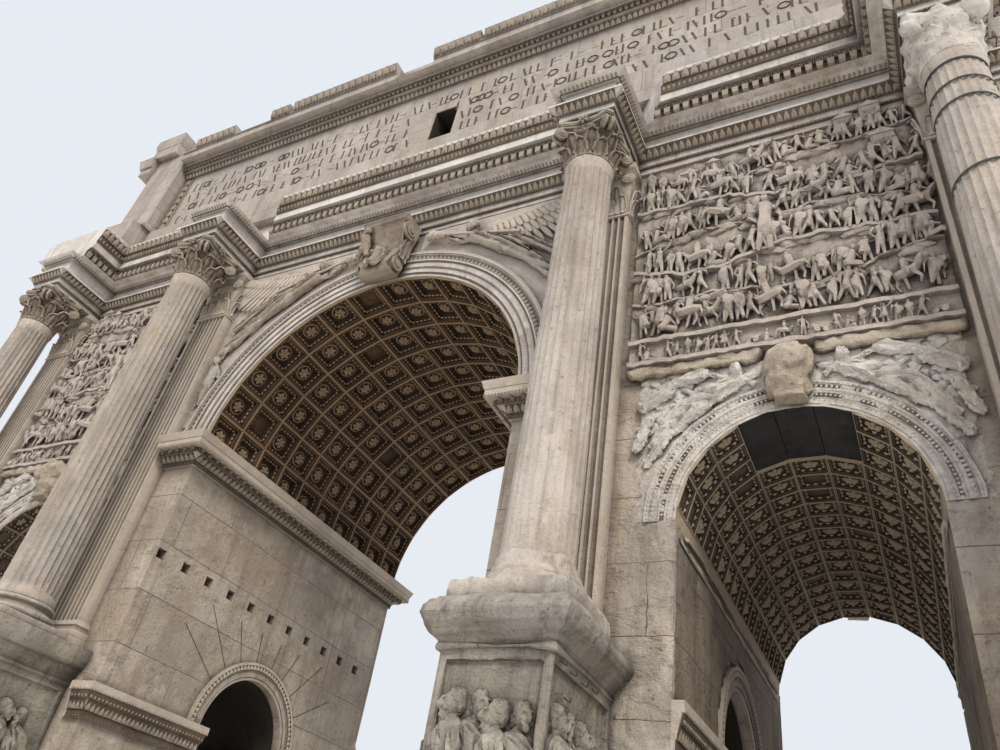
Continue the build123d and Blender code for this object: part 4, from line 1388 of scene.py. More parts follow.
@dataclass
class Columns:
    """The eight columns: shafts, bases and composite capitals."""

    iron_levels: tuple[float, ...] = (9.75, 11.1, 11.5, 11.95)

    def base(self) -> Piece:
        """An attic base on its square plinth, about the column axis at the origin."""
        z = PEDESTAL_TOP
        plinth = softened(block(-0.62, 0.62, -0.62, 0.62, z, z + 0.178), 0.025, 2)
        profile = [(0.0, z + 0.16), (0.575, z + 0.16)]
        for k in range(7):
            turn = -QUARTER + math.pi * k / 6
            profile.append((0.56 + 0.055 * math.cos(turn), z + 0.235 + 0.065 * math.sin(turn)))
        profile += [(0.53, z + 0.305), (0.505, z + 0.33), (0.495, z + 0.36), (0.515, z + 0.385)]
        for k in range(5):
            turn = -QUARTER + math.pi * k / 4
            profile.append((0.515 + 0.035 * math.cos(turn), z + 0.425 + 0.035 * math.sin(turn)))
        profile += [(0.50, z + 0.48), (0.0, z + 0.48)]
        return joined([plinth, lathed(profile, 0.0, 0.0, 32)])

    def rubbed_mass(self) -> Piece:
        """The base that weather has rounded into one stepped lump, about the column axis at the origin."""
        z = PEDESTAL_TOP
        plinth = softened(block(-0.71, 0.71, -0.71, 0.69, z - 0.06, z + 0.23), 0.05, 2)
        profile = [(0.0, z + 0.18), (0.63, z + 0.18), (0.655, z + 0.26), (0.62, z + 0.335), (0.565, z + 0.36)]
        profile += [(0.575, z + 0.42), (0.53, z + 0.47), (0.505, z + 0.53), (0.47, z + 0.66), (0.0, z + 0.66)]
        lump = moulded_clay([plinth, lathed(profile, 0.0, 0.0, 32)], 0.035, 0.6)
        return worn(worn(lump, 0.12, 0.34), 0.04, 0.09)

    def capital(self) -> Piece:
        """A composite capital about the column axis at the origin."""
        z = SHAFT_TOP
        bell = [(0.0, z), (0.40, z), (0.41, z + 0.03), (0.36, z + 0.05), (0.37, z + 0.45), (0.42, z + 0.62)]
        bell += [(0.47, z + 0.66), (0.47, z + 0.70), (0.43, z + 0.72), (0.46, z + 0.84), (0.0, z + 0.84)]
        made = [lathed(bell, 0.0, 0.0, 24)]
        made.append(self._round(leaf(0.29, 0.40, 0.17), 0.375, z + 0.03, 8))
        made.append(self._round(leaf(0.29, 0.66, 0.20), 0.37, z + 0.03, 8, math.pi / 8))
        made.append(self._round(pearl(0.026), 0.475, z + 0.68, 30))
        made.append(self._round(egg(0.15, 0.13, 0.05), 0.43, z + 0.705, 16))
        made += self.volutes(z)
        made.append(self.abacus(z + 0.84))
        made.append(self._round(rosette(0.11, 0.08, 6), 0.47, z + 0.915, 4))
        return joined(made)

    @staticmethod
    def _round(unit: Piece, reach: float, z: float, count: int, first: float = 0.0) -> Piece:
        """A ring of units round the axis, the first one turned from the -Y side."""
        placed(unit, turned(first, "Z") @ moved(0.0, -reach, z))
        return turned_row(unit, count, turned(2 * math.pi / count, "Z"))

    def volutes(self, z: float) -> list[Piece]:
        """The four corner scrolls, each two coiled discs back to back with a leaf between them."""
        made = []
        for side in (-1.0, 1.0):
            x = side * 0.055
            for radius, thick in ((0.125, 0.05), (0.085, 0.075), (0.05, 0.095), (0.02, 0.115)):
                roll = disc(ORIGIN, radius, thick, 14)
                made.append(placed(roll, moved(x, -0.61, z + 0.71) @ turned(QUARTER, "Z")))
        made.append(limb((0.0, -0.38, z + 0.80), (0.0, -0.60, z + 0.80), 0.09, 0.07, 6))
        scroll = placed(joined(made), turned(math.pi / 4, "Z"))
        return [turned_row(scroll, 4, turned(QUARTER, "Z"))]

    def abacus(self, z: float) -> Piece:
        """The top plate with hollow sides and cut corners, in two members."""
        made = []
        for low, high, grow in ((z, z + 0.06, -0.03), (z + 0.06, z + 0.09, -0.01), (z + 0.09, z + 0.16, 0.0)):
            corners = []
            for side in range(4):
                turn = Matrix.Rotation(side * QUARTER, 3, "Z")
                for k in range(-4, 5):
                    along = k / 4 * (0.44 + grow)
                    hollow = 0.085 * math.cos(k / 4 * QUARTER)
                    corners.append(tuple(turn @ Vector((along, -(0.53 + grow - hollow), low))))
            made.append(extruded(corners, (0.0, 0.0, high - low)))
        return joined(made)

    def hoops(self) -> Piece:
        """The iron hoops that hold the cracked right column."""
        made = []
        shaft = Shaft()
        x = COLUMN_XS[3]
        for z in self.iron_levels:
            share = (z - SHAFT_BOTTOM) / (SHAFT_TOP - SHAFT_BOTTOM)
            radius = shaft.radius(share) + 0.004
            section = [(x + radius, -COLUMN_Y, z), (x + radius + 0.008, -COLUMN_Y, z)]
            section += [(x + radius + 0.008, -COLUMN_Y, z + 0.03), (x + radius, -COLUMN_Y, z + 0.03)]
            made.append(spun(section, 48, 2 * math.pi, (x, -COLUMN_Y, 0.0), (0.0, 0.0, 1.0)))
        return joined(made)

    def build(self, shop: Workshop) -> None:
        """Build the patterns once and stand them at the eight places."""
        sound = worn(Shaft().build(), 0.02, 0.35)
        rubbed = worn(Shaft(depth=0.036, wear_low=0.85).build(), 0.035, 0.4)
        smooth = worn(Shaft(depth=0.022, wear_low=0.9).build(), 0.02, 0.5)
        for face, sign in (("front", -1.0), ("back", 1.0)):
            for k, x in enumerate(COLUMN_XS):
                pattern = sound
                if face == "front" and k == 2:
                    pattern = rubbed
                if face == "front" and k == 3:
                    pattern = smooth
                name = f"column_shaft_{face}_{k + 1}"
                turn = moved(x, sign * COLUMN_Y, 0.0) @ turned(1.1 * k, "Z")
                shop.show([copy_at(pattern, turn)], f"fluted_{name}", Slot.COLUMN, [name])
        drop(sound, rubbed, smooth)
        places = [moved(x, sign * COLUMN_Y, 0.0) for x in COLUMN_XS for sign in (-1.0, 1.0)]
        near = moved(INNER_COLUMN, -COLUMN_Y, 0.0)
        others = [place for place in places if place != near]
        base = worn(self.base(), 0.02, 0.3)
        rubbed_base = placed(self.rubbed_mass(), near)
        shop.show([*copies(base, others), rubbed_base], "turned_bases", Slot.COLUMN, ["column_bases"])
        capital = worn(self.capital(), 0.035, 0.09)
        right = moved(COLUMN_XS[3], -COLUMN_Y, 0.0)
        z = SHAFT_TOP
        profile = [(0.0, z - 0.02), (0.43, z - 0.02), (0.45, z + 0.5), (0.52, z + 0.84), (0.0, z + 0.84)]
        drum = lathed(profile, *right.translation[:2], 32)
        lump = moulded_clay([copy_at(capital, right), drum], 0.045, 0.5)
        rubbed_capital = worn(worn(lump, 0.13, 0.3), 0.05, 0.08)
        sound_capitals = copies(capital, [place for place in places if place != right])
        shop.show(sound_capitals, "carved_capitals", Slot.CARVED, ["column_capitals"], ROWS)
        shop.show([rubbed_capital], "rubbed_capital", Slot.CARVED, finish=PALE)
        shop.show([self.hoops()], "iron_hoops", Slot.COLUMN, finish=IRON)


def rising(x0: float, x1: float, y0: float, y1: float, profile: Sequence[Flat]) -> Piece:
    """A moulded block on a rectangle.

    Args:
        x0: Left side of the rectangle.
        x1: Right side.
        y0: Front side.
        y1: Back side.
        profile: The (reach, height) points from the bottom to the top.

    Returns:
        The closed block, which grows by the reach on every side.
    """
    reach, z = profile[0]
    centre = ((x0 + x1) / 2, (y0 + y1) / 2, z)
    bpy.ops.mesh.primitive_plane_add(size=1.0, location=centre)
    piece = bpy.context.object
    piece.scale = (x1 - x0 + 2 * reach, y1 - y0 + 2 * reach, 1.0)
    settle(piece)
    with editing(piece):
        for out, height in profile[1:]:
            bpy.ops.mesh.extrude_region_move(TRANSFORM_OT_translate={"value": (0.0, 0.0, height - z)})
            sx = (x1 - x0 + 2 * out) / (x1 - x0 + 2 * reach)
            sy = (y1 - y0 + 2 * out) / (y1 - y0 + 2 * reach)
            bpy.ops.transform.resize(value=(sx, sy, 1.0), center_override=centre)
            reach, z = out, height
    return outward(piece, 1e-6)


@dataclass
class Entablature:
    """The carved rows of the main entablature, which breaks forward over each column."""

    face: float = 3.55
    end: float = 10.985
    break_front: float = 4.95
    break_half: float = 0.49
    architrave: tuple[Row, ...] = (
        Row(bead, (0.055, 0.045), 0.032, 13.33, 0.068),
        Row(bead, (0.05, 0.035), 0.06, 13.515, 0.06),
        Row(flat_leaf, (0.115, 0.17, 0.04), 0.062, 13.525, 0.12, 0.74),
    )
    bed_teeth: tuple[Row, ...] = (Row(tooth, (0.08, 0.14, 0.03), 0.08, 14.155, 0.08, 0.95),)
    dentils: tuple[Row, ...] = (
        Row(dentil, (0.115, 0.075, 0.15), 0.38, 14.235, 0.18),
        Row(egg, (0.13, 0.11, 0.04), 0.415, 14.395, 0.14, 0.35),
    )
    gutter: tuple[Row, ...] = (
        Row(bead, (0.05, 0.03), 0.545, 14.705, 0.07),
        Row(tooth, (0.10, 0.16, 0.035), 0.56, 14.725, 0.10, 0.2),
        Row(flat_leaf, (0.16, 0.26, 0.055), 0.60, 14.915, 0.17, 0.2),
    )
    low_hollows: tuple[Hollow, ...] = (
        Hollow(0.030, 13.305, 0.05), Hollow(0.062, 13.51, 0.20, 0.74), Hollow(0.08, 14.15, 0.13),
    )
    high_hollows: tuple[Hollow, ...] = (
        Hollow(0.38, 14.235, 0.15), Hollow(0.415, 14.395, 0.11, 0.35),
        Hollow(0.56, 14.70, 0.20, 0.2), Hollow(0.60, 14.91, 0.22, 0.2),
    )

    def front(self, p: float, broken: bool) -> list[Stretch]:
        """Stretches of the front at a projection, without the lost ones if broken."""
        made = []
        x_last = -self.end - p
        y = -self.face - p
        for x in COLUMN_XS:
            left = x - self.break_half - p
            right = x + self.break_half + p
            fore = -self.break_front - p
            made.append(Stretch(x_last, y, left, y))
            x_last = right
            if broken and abs(x) == INNER_COLUMN:
                continue
            stop = -self.break_front if broken else fore
            made.append(Stretch(left, y, left, stop))
            if not broken:
                made.append(Stretch(left, fore, right, fore))
            made.append(Stretch(right, stop, right, y))
        made.append(Stretch(x_last, y, self.end + p, y))
        return made

    def whole(self, p: float) -> list[Stretch]:
        """Stretches of a course below the cornice at a projection."""
        return self.stretches(p, False)

    def cornice(self, p: float) -> list[Stretch]:
        """Stretches of the cornice at a projection, without the lost ones."""
        return self.stretches(p, True)

    def stretches(self, p: float, broken: bool) -> list[Stretch]:
        """Stretches on all four sides at a projection."""
        back = [Stretch(-s.x0, -s.y0, -s.x1, -s.y1) for s in self.front(p, False)]
        side = self.face + p
        out = self.end + p
        ends = [Stretch(out, -side, out, side), Stretch(-out, side, -out, -side)]
        return self.front(p, broken) + back + ends

    def build(self, shop: Workshop) -> None:
        """Build the rows, from the architrave's beads up to the gutter's palmettes."""
        shop.show(carved(self.whole, self.architrave), "architrave_carving", Slot.ENTABLATURE, finish=ROWS)
        made = carved(self.whole, self.bed_teeth) + carved(self.cornice, self.dentils)
        shop.show(made, "dentils_and_eggs", Slot.ENTABLATURE, finish=ROWS)
        made = [worn(joined(carved(self.cornice, self.gutter)), 0.03, 0.2)]
        shop.show(made, "gutter_carving", Slot.CARVED, finish=ROWS)
        # Strips of painted shade behind the carved rows.
        dark = darkened(self.whole, self.low_hollows) + darkened(self.cornice, self.high_hollows)
        shop.show(dark, "course_hollow_shade", Slot.ENTABLATURE, finish=HOLLOW_SHADE)


@dataclass
class Attic:
    """The attic's carved cornice, its field of incised marks and its border strips."""

    span: float = 9.55
    gutters: tuple[Flat, ...] = ((-9.0, -7.4), (-6.0, -5.3), (-5.15, -1.6), (-0.45, 0.95), (1.05, 9.5))
    rows: tuple[float, ...] = (16.98, 17.46, 17.94, 18.42)
    window: Four = (-0.40, 0.50, 16.7, 18.1)
    opening: Four = (-0.275, 0.375, 16.80, 17.95)
    marks_end: float = 8.9
    mark_half: float = 0.17
    cornice: tuple[Row, ...] = (
        Row(flat_leaf, (0.125, 0.17, 0.04), 0.045, 19.0, 0.135, 0.54),
        Row(tongue, (0.105, 0.165, 0.07), 0.23, 19.16, 0.14),
        Row(bead, (0.055, 0.035), 0.30, 19.345, 0.075),
    )
    hollows: tuple[Hollow, ...] = (Hollow(0.045, 18.99, 0.18, 0.54), Hollow(0.23, 19.15, 0.17))
    gutter_out: float = 0.58

    def stretches(self, p: float) -> list[Stretch]:
        """The four sides of the cornice between the corner pilasters."""
        y = WALL_Y + p
        x = WALL_X + p
        front = Stretch(-self.span, -y, self.span, -y)
        back = Stretch(self.span, y, -self.span, y)
        return [front, back, Stretch(x, -WALL_Y, x, WALL_Y), Stretch(-x, WALL_Y, -x, -WALL_Y)]

    def marks(self) -> list[Piece]:
        """Rows of plain strokes and dowel holes on both faces."""
        draw = random.Random(5)
        made = []
        stroke = block(-0.024, 0.024, -0.004, 0.03, -self.mark_half, self.mark_half)
        slant = copy_at(stroke, turned(-0.3, "Y"))
        bar = copy_at(stroke, Matrix.Scale(0.5, 4) @ turned(QUARTER, "Y"))
        ring = ringlet(0.125, 0.024, 9)
        corner = joined([copy_at(stroke, Matrix()), copy_at(bar, moved(0.07, 0.0, -0.15))])
        hole = disc((0.0, 0.008, 0.0), 0.02, 0.026, 8)
        x0, x1, z0, z1 = self.window
        for sign in (1.0, -1.0):
            turn = turned(0.0 if sign > 0 else math.pi, "Z")
            for z in self.rows:
                x = -self.marks_end
                while x < self.marks_end:
                    spot = turn @ moved(x, -WALL_Y, z)
                    x += draw.choice((0.15, 0.20, 0.24, 0.36))
                    if x0 - 0.2 < x < x1 + 0.2 and z0 < z < z1:
                        continue
                    made.append(copy_at(draw.choice((stroke, stroke, slant, bar, ring, corner)), spot))
                    if draw.random() < 0.5:
                        made.append(copy_at(hole, spot @ moved(0.05, 0.0, draw.choice((-0.16, 0.0, 0.16)))))
        drop(stroke, slant, bar, ring, corner, hole)
        return made

    def border(self) -> list[Piece]:
        """The carved upright strip beside each corner pilaster, on both faces."""
        made = []
        unit = flat_leaf(0.22, 0.26, 0.05)
        for x in (-9.38, 9.38):
            row = copy_at(unit, moved(x, -WALL_Y - 0.01, 16.72))
            made.append(mirrored(repeated(row, 8, (0.0, 0.0, 0.285)), y=True))
        drop(unit)
        for x in (-9.24, 9.24, -9.52, 9.52):
            strip = block(x - 0.02, x + 0.02, -WALL_Y - 0.03, -WALL_Y + 0.01, 16.7, 19.0)
            made.append(mirrored(strip, y=True))
        return made

    def lining(self) -> list[Piece]:
        """A thin dark skin on the sides, the sill and the head of the window: painted shade in its reveal."""
        x0, x1, z0, z1 = self.opening
        y0, y1 = -WALL_Y + 0.03, -2.62
        thin = 0.012
        return [
            block(x0, x0 + thin, y0, y1, z0, z1), block(x1 - thin, x1, y0, y1, z0, z1),
            block(x0, x1, y0, y1, z1 - thin, z1), block(x0, x1, y0, y1, z0, z0 + thin),
        ]

    def build(self, shop: Workshop) -> None:
        """Build the cornice rows, the marks and the strips."""
        made = carved(self.stretches, self.cornice)
        shop.show(made, "attic_cornice_carving", Slot.CARVED, finish=ROWS)
        # Strips of painted shade behind the carved rows.
        dark = darkened(self.stretches, self.hollows)
        shop.show(dark, "attic_course_hollow_shade", Slot.CARVED, finish=HOLLOW_SHADE)
        front = -WALL_Y - self.gutter_out
        gutters = [Stretch(a, front, b, front) for a, b in self.gutters]
        gutters += self.stretches(self.gutter_out)[1:]
        made = runs(flat_leaf(0.21, 0.28, 0.05), gutters, 19.71, 0.22, 0.26)
        made += runs(pearl(0.035), gutters, 19.70, 0.11)
        shop.show([worn(joined(made), 0.03, 0.2)], "attic_gutter_carving", Slot.CARVED, finish=ROWS)
        shop.show(self.border(), "attic_border_strips", Slot.CARVED, finish=ROWS)
        shop.show(self.marks(), "incised_marks", Slot.ATTIC, finish=INCISED)
        shop.show(self.lining(), "window_lining", Slot.ATTIC, finish=DEEP_SHADE)


@dataclass
class Imposts:
    """The carved rows of the cornices at the springing of the vaults and of the cross passages."""

    pilaster_side: float = 4.23
    inner: float = CENTRE_RADIUS
    strings: tuple[Four, ...] = ((0.04, 5.86, 5.97, 3.28), (0.075, 5.98, 6.09, 3.1))
    high_rows: tuple[Row, ...] = (
        Row(bead, (0.05, 0.034), 0.062, 8.045, 0.065),
        Row(bead, (0.05, 0.034), 0.062, 8.095, 0.065),
        Row(flat_leaf, (0.115, 0.15, 0.035), 0.075, 8.115, 0.12, 0.82),
        Row(egg, (0.19, 0.17, 0.09), 0.225, 8.205, 0.20, 0.25),
        Row(pearl, (0.022,), 0.372, 8.30, 0.06),
    )
    low_rows: tuple[Row, ...] = (
        Row(bead, (0.06, 0.036), 0.052, 3.425, 0.075),
        Row(flat_leaf, (0.09, 0.12, 0.03), 0.062, 3.52, 0.094, 0.2),
        Row(tooth, (0.07, 0.07, 0.035), 0.11, 3.68, 0.08, 0.2),
        Row(bead, (0.05, 0.035), 0.15, 3.81, 0.06),
    )
    high_hollows: tuple[Hollow, ...] = (
        Hollow(0.066, 8.02, 0.10), Hollow(0.075, 8.11, 0.15, 0.82), Hollow(0.225, 8.20, 0.17, 0.25),
    )
    low_hollows: tuple[Hollow, ...] = (
        Hollow(0.056, 3.40, 0.12), Hollow(0.066, 3.51, 0.17, 0.2), Hollow(0.11, 3.67, 0.13, 0.2),
    )

    def course(self, p: float) -> list[Stretch]:
        """The three faces of the right pier at a projection."""
        y = WALL_Y + p
        x = self.inner - p
        side = self.pilaster_side
        return [Stretch(side, y, x, y), Stretch(x, y, x, -y), Stretch(x, -y, side, -y)]

    def low_course(self, p: float) -> list[Stretch]:
        """The faces of the right front half pier at the springing of its passage."""
        x0 = self.inner - p
        x1 = SIDE_JAMBS[0][0] + p
        y0 = -WALL_Y - p
        y1 = -PASSAGE_RADIUS + p
        inner = [Stretch(x0, y1, x0, y0), Stretch(x0, y0, 3.75, y0)]
        return inner + [Stretch(x1, -WALL_Y, x1, y1), Stretch(x1, y1, x0, y1)]

    def build(self, shop: Workshop) -> None:
        """Build the rows of the right side and mirror them."""
        high = mirrored(joined(carved(self.course, self.high_rows)), x=True)
        shop.show([high], "impost_carving", Slot.CARVED, finish=ROWS)
        # Strips of painted shade behind the carved rows.
        dark = [mirrored(joined(darkened(self.course, self.high_hollows)), x=True)]
        dark.append(fourfold(joined(darkened(self.low_course, self.low_hollows))))
        shop.show(dark, "impost_hollow_shade", Slot.CARVED, finish=HOLLOW_SHADE)
        whole = fourfold(worn(joined(carved(self.low_course, self.low_rows)), 0.03, 0.1))
        shop.show([whole], "passage_impost_carving", Slot.CARVED, finish=ROWS)
        shop.show([mirrored(self.side_strings(), x=True)], "side_strings", Slot.CARVED, ["side_imposts"])

    def side_strings(self) -> Piece:
        """The worn strings at the springing of the right side vault, thin at their broken ends."""
        made = []
        for face, sign in SIDE_JAMBS:
            for reach, low, high, end in self.strings:
                string = block(face - sign * 0.02, face + sign * reach, -end, end, low, high)
                with editing(string):
                    pick_faces(string, lambda centre, normal: abs(normal.y) > 0.9)
                    bpy.ops.mesh.inset(thickness=0.02, depth=0.10)
                made.append(moulded_clay([string], 0.05, 0.35))
        return worn(joined(made), 0.07, 0.3)


@dataclass
class Passages:
    """The moulded rings round the mouths of the cross passages."""

    bands: tuple[Flat, ...] = ((0.06, 0.02), (0.10, 0.03), (0.03, 0.036), (0.09, 0.045), (0.05, 0.06))
    rows: tuple[CarvedRow, ...] = (("bead", 1.295, 0.038, 0.045), ("leaf", 1.315, 0.045, 0.07))
    steps: int = 36
    joint_degrees: tuple[int, ...] = (-58, -41, -25, -9, 9, 26, 42, 57)
    joint_start: float = 1.46
    joint_rise: float = 2.0
    joint_longest: float = 2.7
    foot: float = 0.03

    def build(self, shop: Workshop) -> None:
        """Build one ring as if on the front and turn it into the archways."""
        ring = Archivolt(0.0, PASSAGE_SPRING, PASSAGE_RADIUS, self.bands, self.steps, self.rows)
        ring = joined(ring.build())
        inner = moved(WALL_Y + CENTRE_RADIUS, 0.0, 0.0) @ turned(-QUARTER, "Z")
        outer = moved(SIDE_JAMBS[0][0] - WALL_Y, 0.0, 0.0) @ turned(QUARTER, "Z")
        made = [mirrored(piece, x=True) for piece in copies(ring, [inner, outer])]
        shop.show(made, "passage_rings", Slot.CARVED, ["passage_archivolts"])
        shop.show([mirrored(self.lining(), x=True)], "passage_linings", Slot.WALL, finish=DEEP_SHADE)
        joints = mirrored(placed(joined(self.joints()), inner), x=True)
        shop.show([joints], "radial_joints", Slot.WALL, finish=INCISED)
        shop.show([mirrored(self.jambs(), x=True)], "rough_jambs", Slot.WALL, finish=JAMB)

    def joints(self) -> list[Piece]:
        """The thin joints that radiate above the mouth of a passage, as if on the front."""
        made = []
        for degrees in self.joint_degrees:
            angle = math.radians(degrees)
            reach = min(self.joint_rise / math.cos(angle), self.joint_longest)
            low, high = PASSAGE_SPRING + self.joint_start, PASSAGE_SPRING + reach
            line = block(-0.008, 0.008, -WALL_Y - 0.003, -WALL_Y + 0.02, low, high)
            made.append(placed(line, about(angle, "Y", (0.0, 0.0, PASSAGE_SPRING))))
        return made

    def jambs(self) -> Piece:
        """The rough stone skin on both jambs of the right side archway, darkened with painted shade."""
        made = []
        for face, sign in SIDE_JAMBS:
            sheet = ground_sheet(-WALL_Y + 0.01, WALL_Y - 0.01, self.foot, 5.84, -0.022, 0.17)
            if sign > 0:
                with editing(sheet):
                    pick_faces(
                        sheet, lambda at, normal: math.hypot(at.x, max(at.z - PASSAGE_SPRING, 0.0)) < 1.5
                    )
                    bpy.ops.mesh.delete(type="FACE")
            sheet = worn(worn(sheet, 0.05, 0.5), 0.03, 0.16)
            with editing(sheet, "VERT"):
                pick_points(sheet, lambda co: abs(co.x) > WALL_Y - 0.1)
                bpy.ops.transform.translate(value=(0.0, 0.04, 0.0))
            made.append(placed(sheet, moved(face, 0.0, 0.0) @ turned(sign * QUARTER, "Z")))
        return joined(made)

    def lining(self) -> Piece:
        """A thin dark skin inside the right passage, its barrel and its jambs: painted shade."""
        points = []
        for radius, sign in ((1.117, 1), (1.102, -1)):
            arc = [math.pi * k / 24 for k in range(25)][::sign]
            side = [(radius * math.cos(arc[0]), 0.0, self.foot)]
            side += [(radius * math.cos(turn), 0.0, PASSAGE_SPRING + radius * math.sin(turn)) for turn in arc]
            points += [*side, (radius * math.cos(arc[-1]), 0.0, self.foot)]
        return placed(extruded(points, (0.0, 2.25, 0.0)), moved(3.60, 0.0, 0.0) @ turned(-QUARTER, "Z"))


@dataclass
class Pilasters:
    """The fluted pilasters behind the columns, with their leafy capitals."""

    half: float = 0.44
    front: float = -3.75
    flutes: int = 7
    depth: float = 0.038
    margin: float = 0.05
    cap_bottom: float = 11.92
    foot_top: float = 4.90
    leaf_width: float = 0.20
    leaf_rows: tuple[tuple[int, float, float, float], ...] = ((4, 0.45, 0.10, 0.0), (3, 0.74, 0.12, 0.11))

    def shaft(self) -> Piece:
        """The fluted shaft about x = 0."""
        points = [(-self.half, self.front, self.foot_top)]
        width = 2 * (self.half - self.margin) / self.flutes
        for k in range(self.flutes):
            middle = -self.half + self.margin + (k + 0.5) * width
            for share in (-1.0, -0.7, 0.0, 0.7, 1.0):
                deep = self.depth * math.sqrt(1.0 - share**2)
                points.append((middle + share * width * 0.40, self.front + deep, self.foot_top))
        corners = ((self.half, self.front), (self.half, -WALL_Y), (-self.half, -WALL_Y))
        points += [(x, y, self.foot_top) for x, y in corners]
        return extruded(points, (0.0, 0.0, self.cap_bottom - self.foot_top))

    def capital(self) -> list[Piece]:
        """The capital: two rows of leaves, corner scrolls and a top plate."""
        z = self.cap_bottom
        bell = [(0.02, z), (0.02, z + 0.05), (0.0, z + 0.06), (0.03, z + 1.0), (0.05, z + 1.08)]
        made = [rising(-self.half, self.half, self.front, -WALL_Y, bell)]
        for count, height, curl, shift in self.leaf_rows:
            first = moved(-self.half + 0.11 + shift, self.front - 0.01, z + 0.06)
            made.append(repeated(placed(leaf(self.leaf_width, height, curl), first), count, (0.22, 0.0, 0.0)))
            for side in (-1.0, 1.0):
                flank = moved(side * (self.half + 0.01), (self.front - WALL_Y) / 2, z + 0.06)
                flank = flank @ turned(side * QUARTER, "Z")
                made.append(placed(leaf(self.leaf_width, height, curl), flank))
        row = placed(egg(0.11, 0.10, 0.035), moved(-self.half + 0.06, self.front - 0.03, z + 0.98))
        made.append(repeated(row, 8, (0.11, 0.0, 0.0)))
        for side in (-1.0, 1.0):
            centre = (side * (self.half - 0.02), self.front - 0.055, z + 0.93)
            for radius, thick in ((0.12, 0.05), (0.08, 0.075), (0.035, 0.10)):
                made.append(disc(centre, radius, thick, 14))
        made.append(placed(rosette(0.08, 0.06, 6), moved(0.0, self.front - 0.115, z + 1.17)))
        plate = [(0.06, z + 1.08), (0.08, z + 1.14), (0.11, z + 1.16), (0.11, z + 1.28)]
        return [*made, rising(-self.half, self.half, self.front, -WALL_Y, plate)]

    def foot(self) -> Piece:
        """The base."""
        z = PEDESTAL_TOP
        profile = [(0.11, z), (0.11, z + 0.18), (0.095, z + 0.19), (0.105, z + 0.24), (0.09, z + 0.30)]
        profile += [(0.05, z + 0.32), (0.045, z + 0.36), (0.07, z + 0.39), (0.06, z + 0.44)]
        profile += [(0.02, z + 0.46), (0.0, z + 0.49)]
        return rising(-self.half, self.half, self.front, -WALL_Y, profile)

    def build(self, shop: Workshop) -> None:
        """Build one pilaster and stand it at the eight places."""
        one = joined([self.shaft(), *self.capital(), self.foot()])
        front = copies(one, [moved(x, 0.0, 0.0) for x in COLUMN_XS])
        whole = mirrored(worn(joined(front), 0.014, 0.15), y=True)
        shop.show([whole], "fluted_pilasters", Slot.CARVED, ["pilasters"])


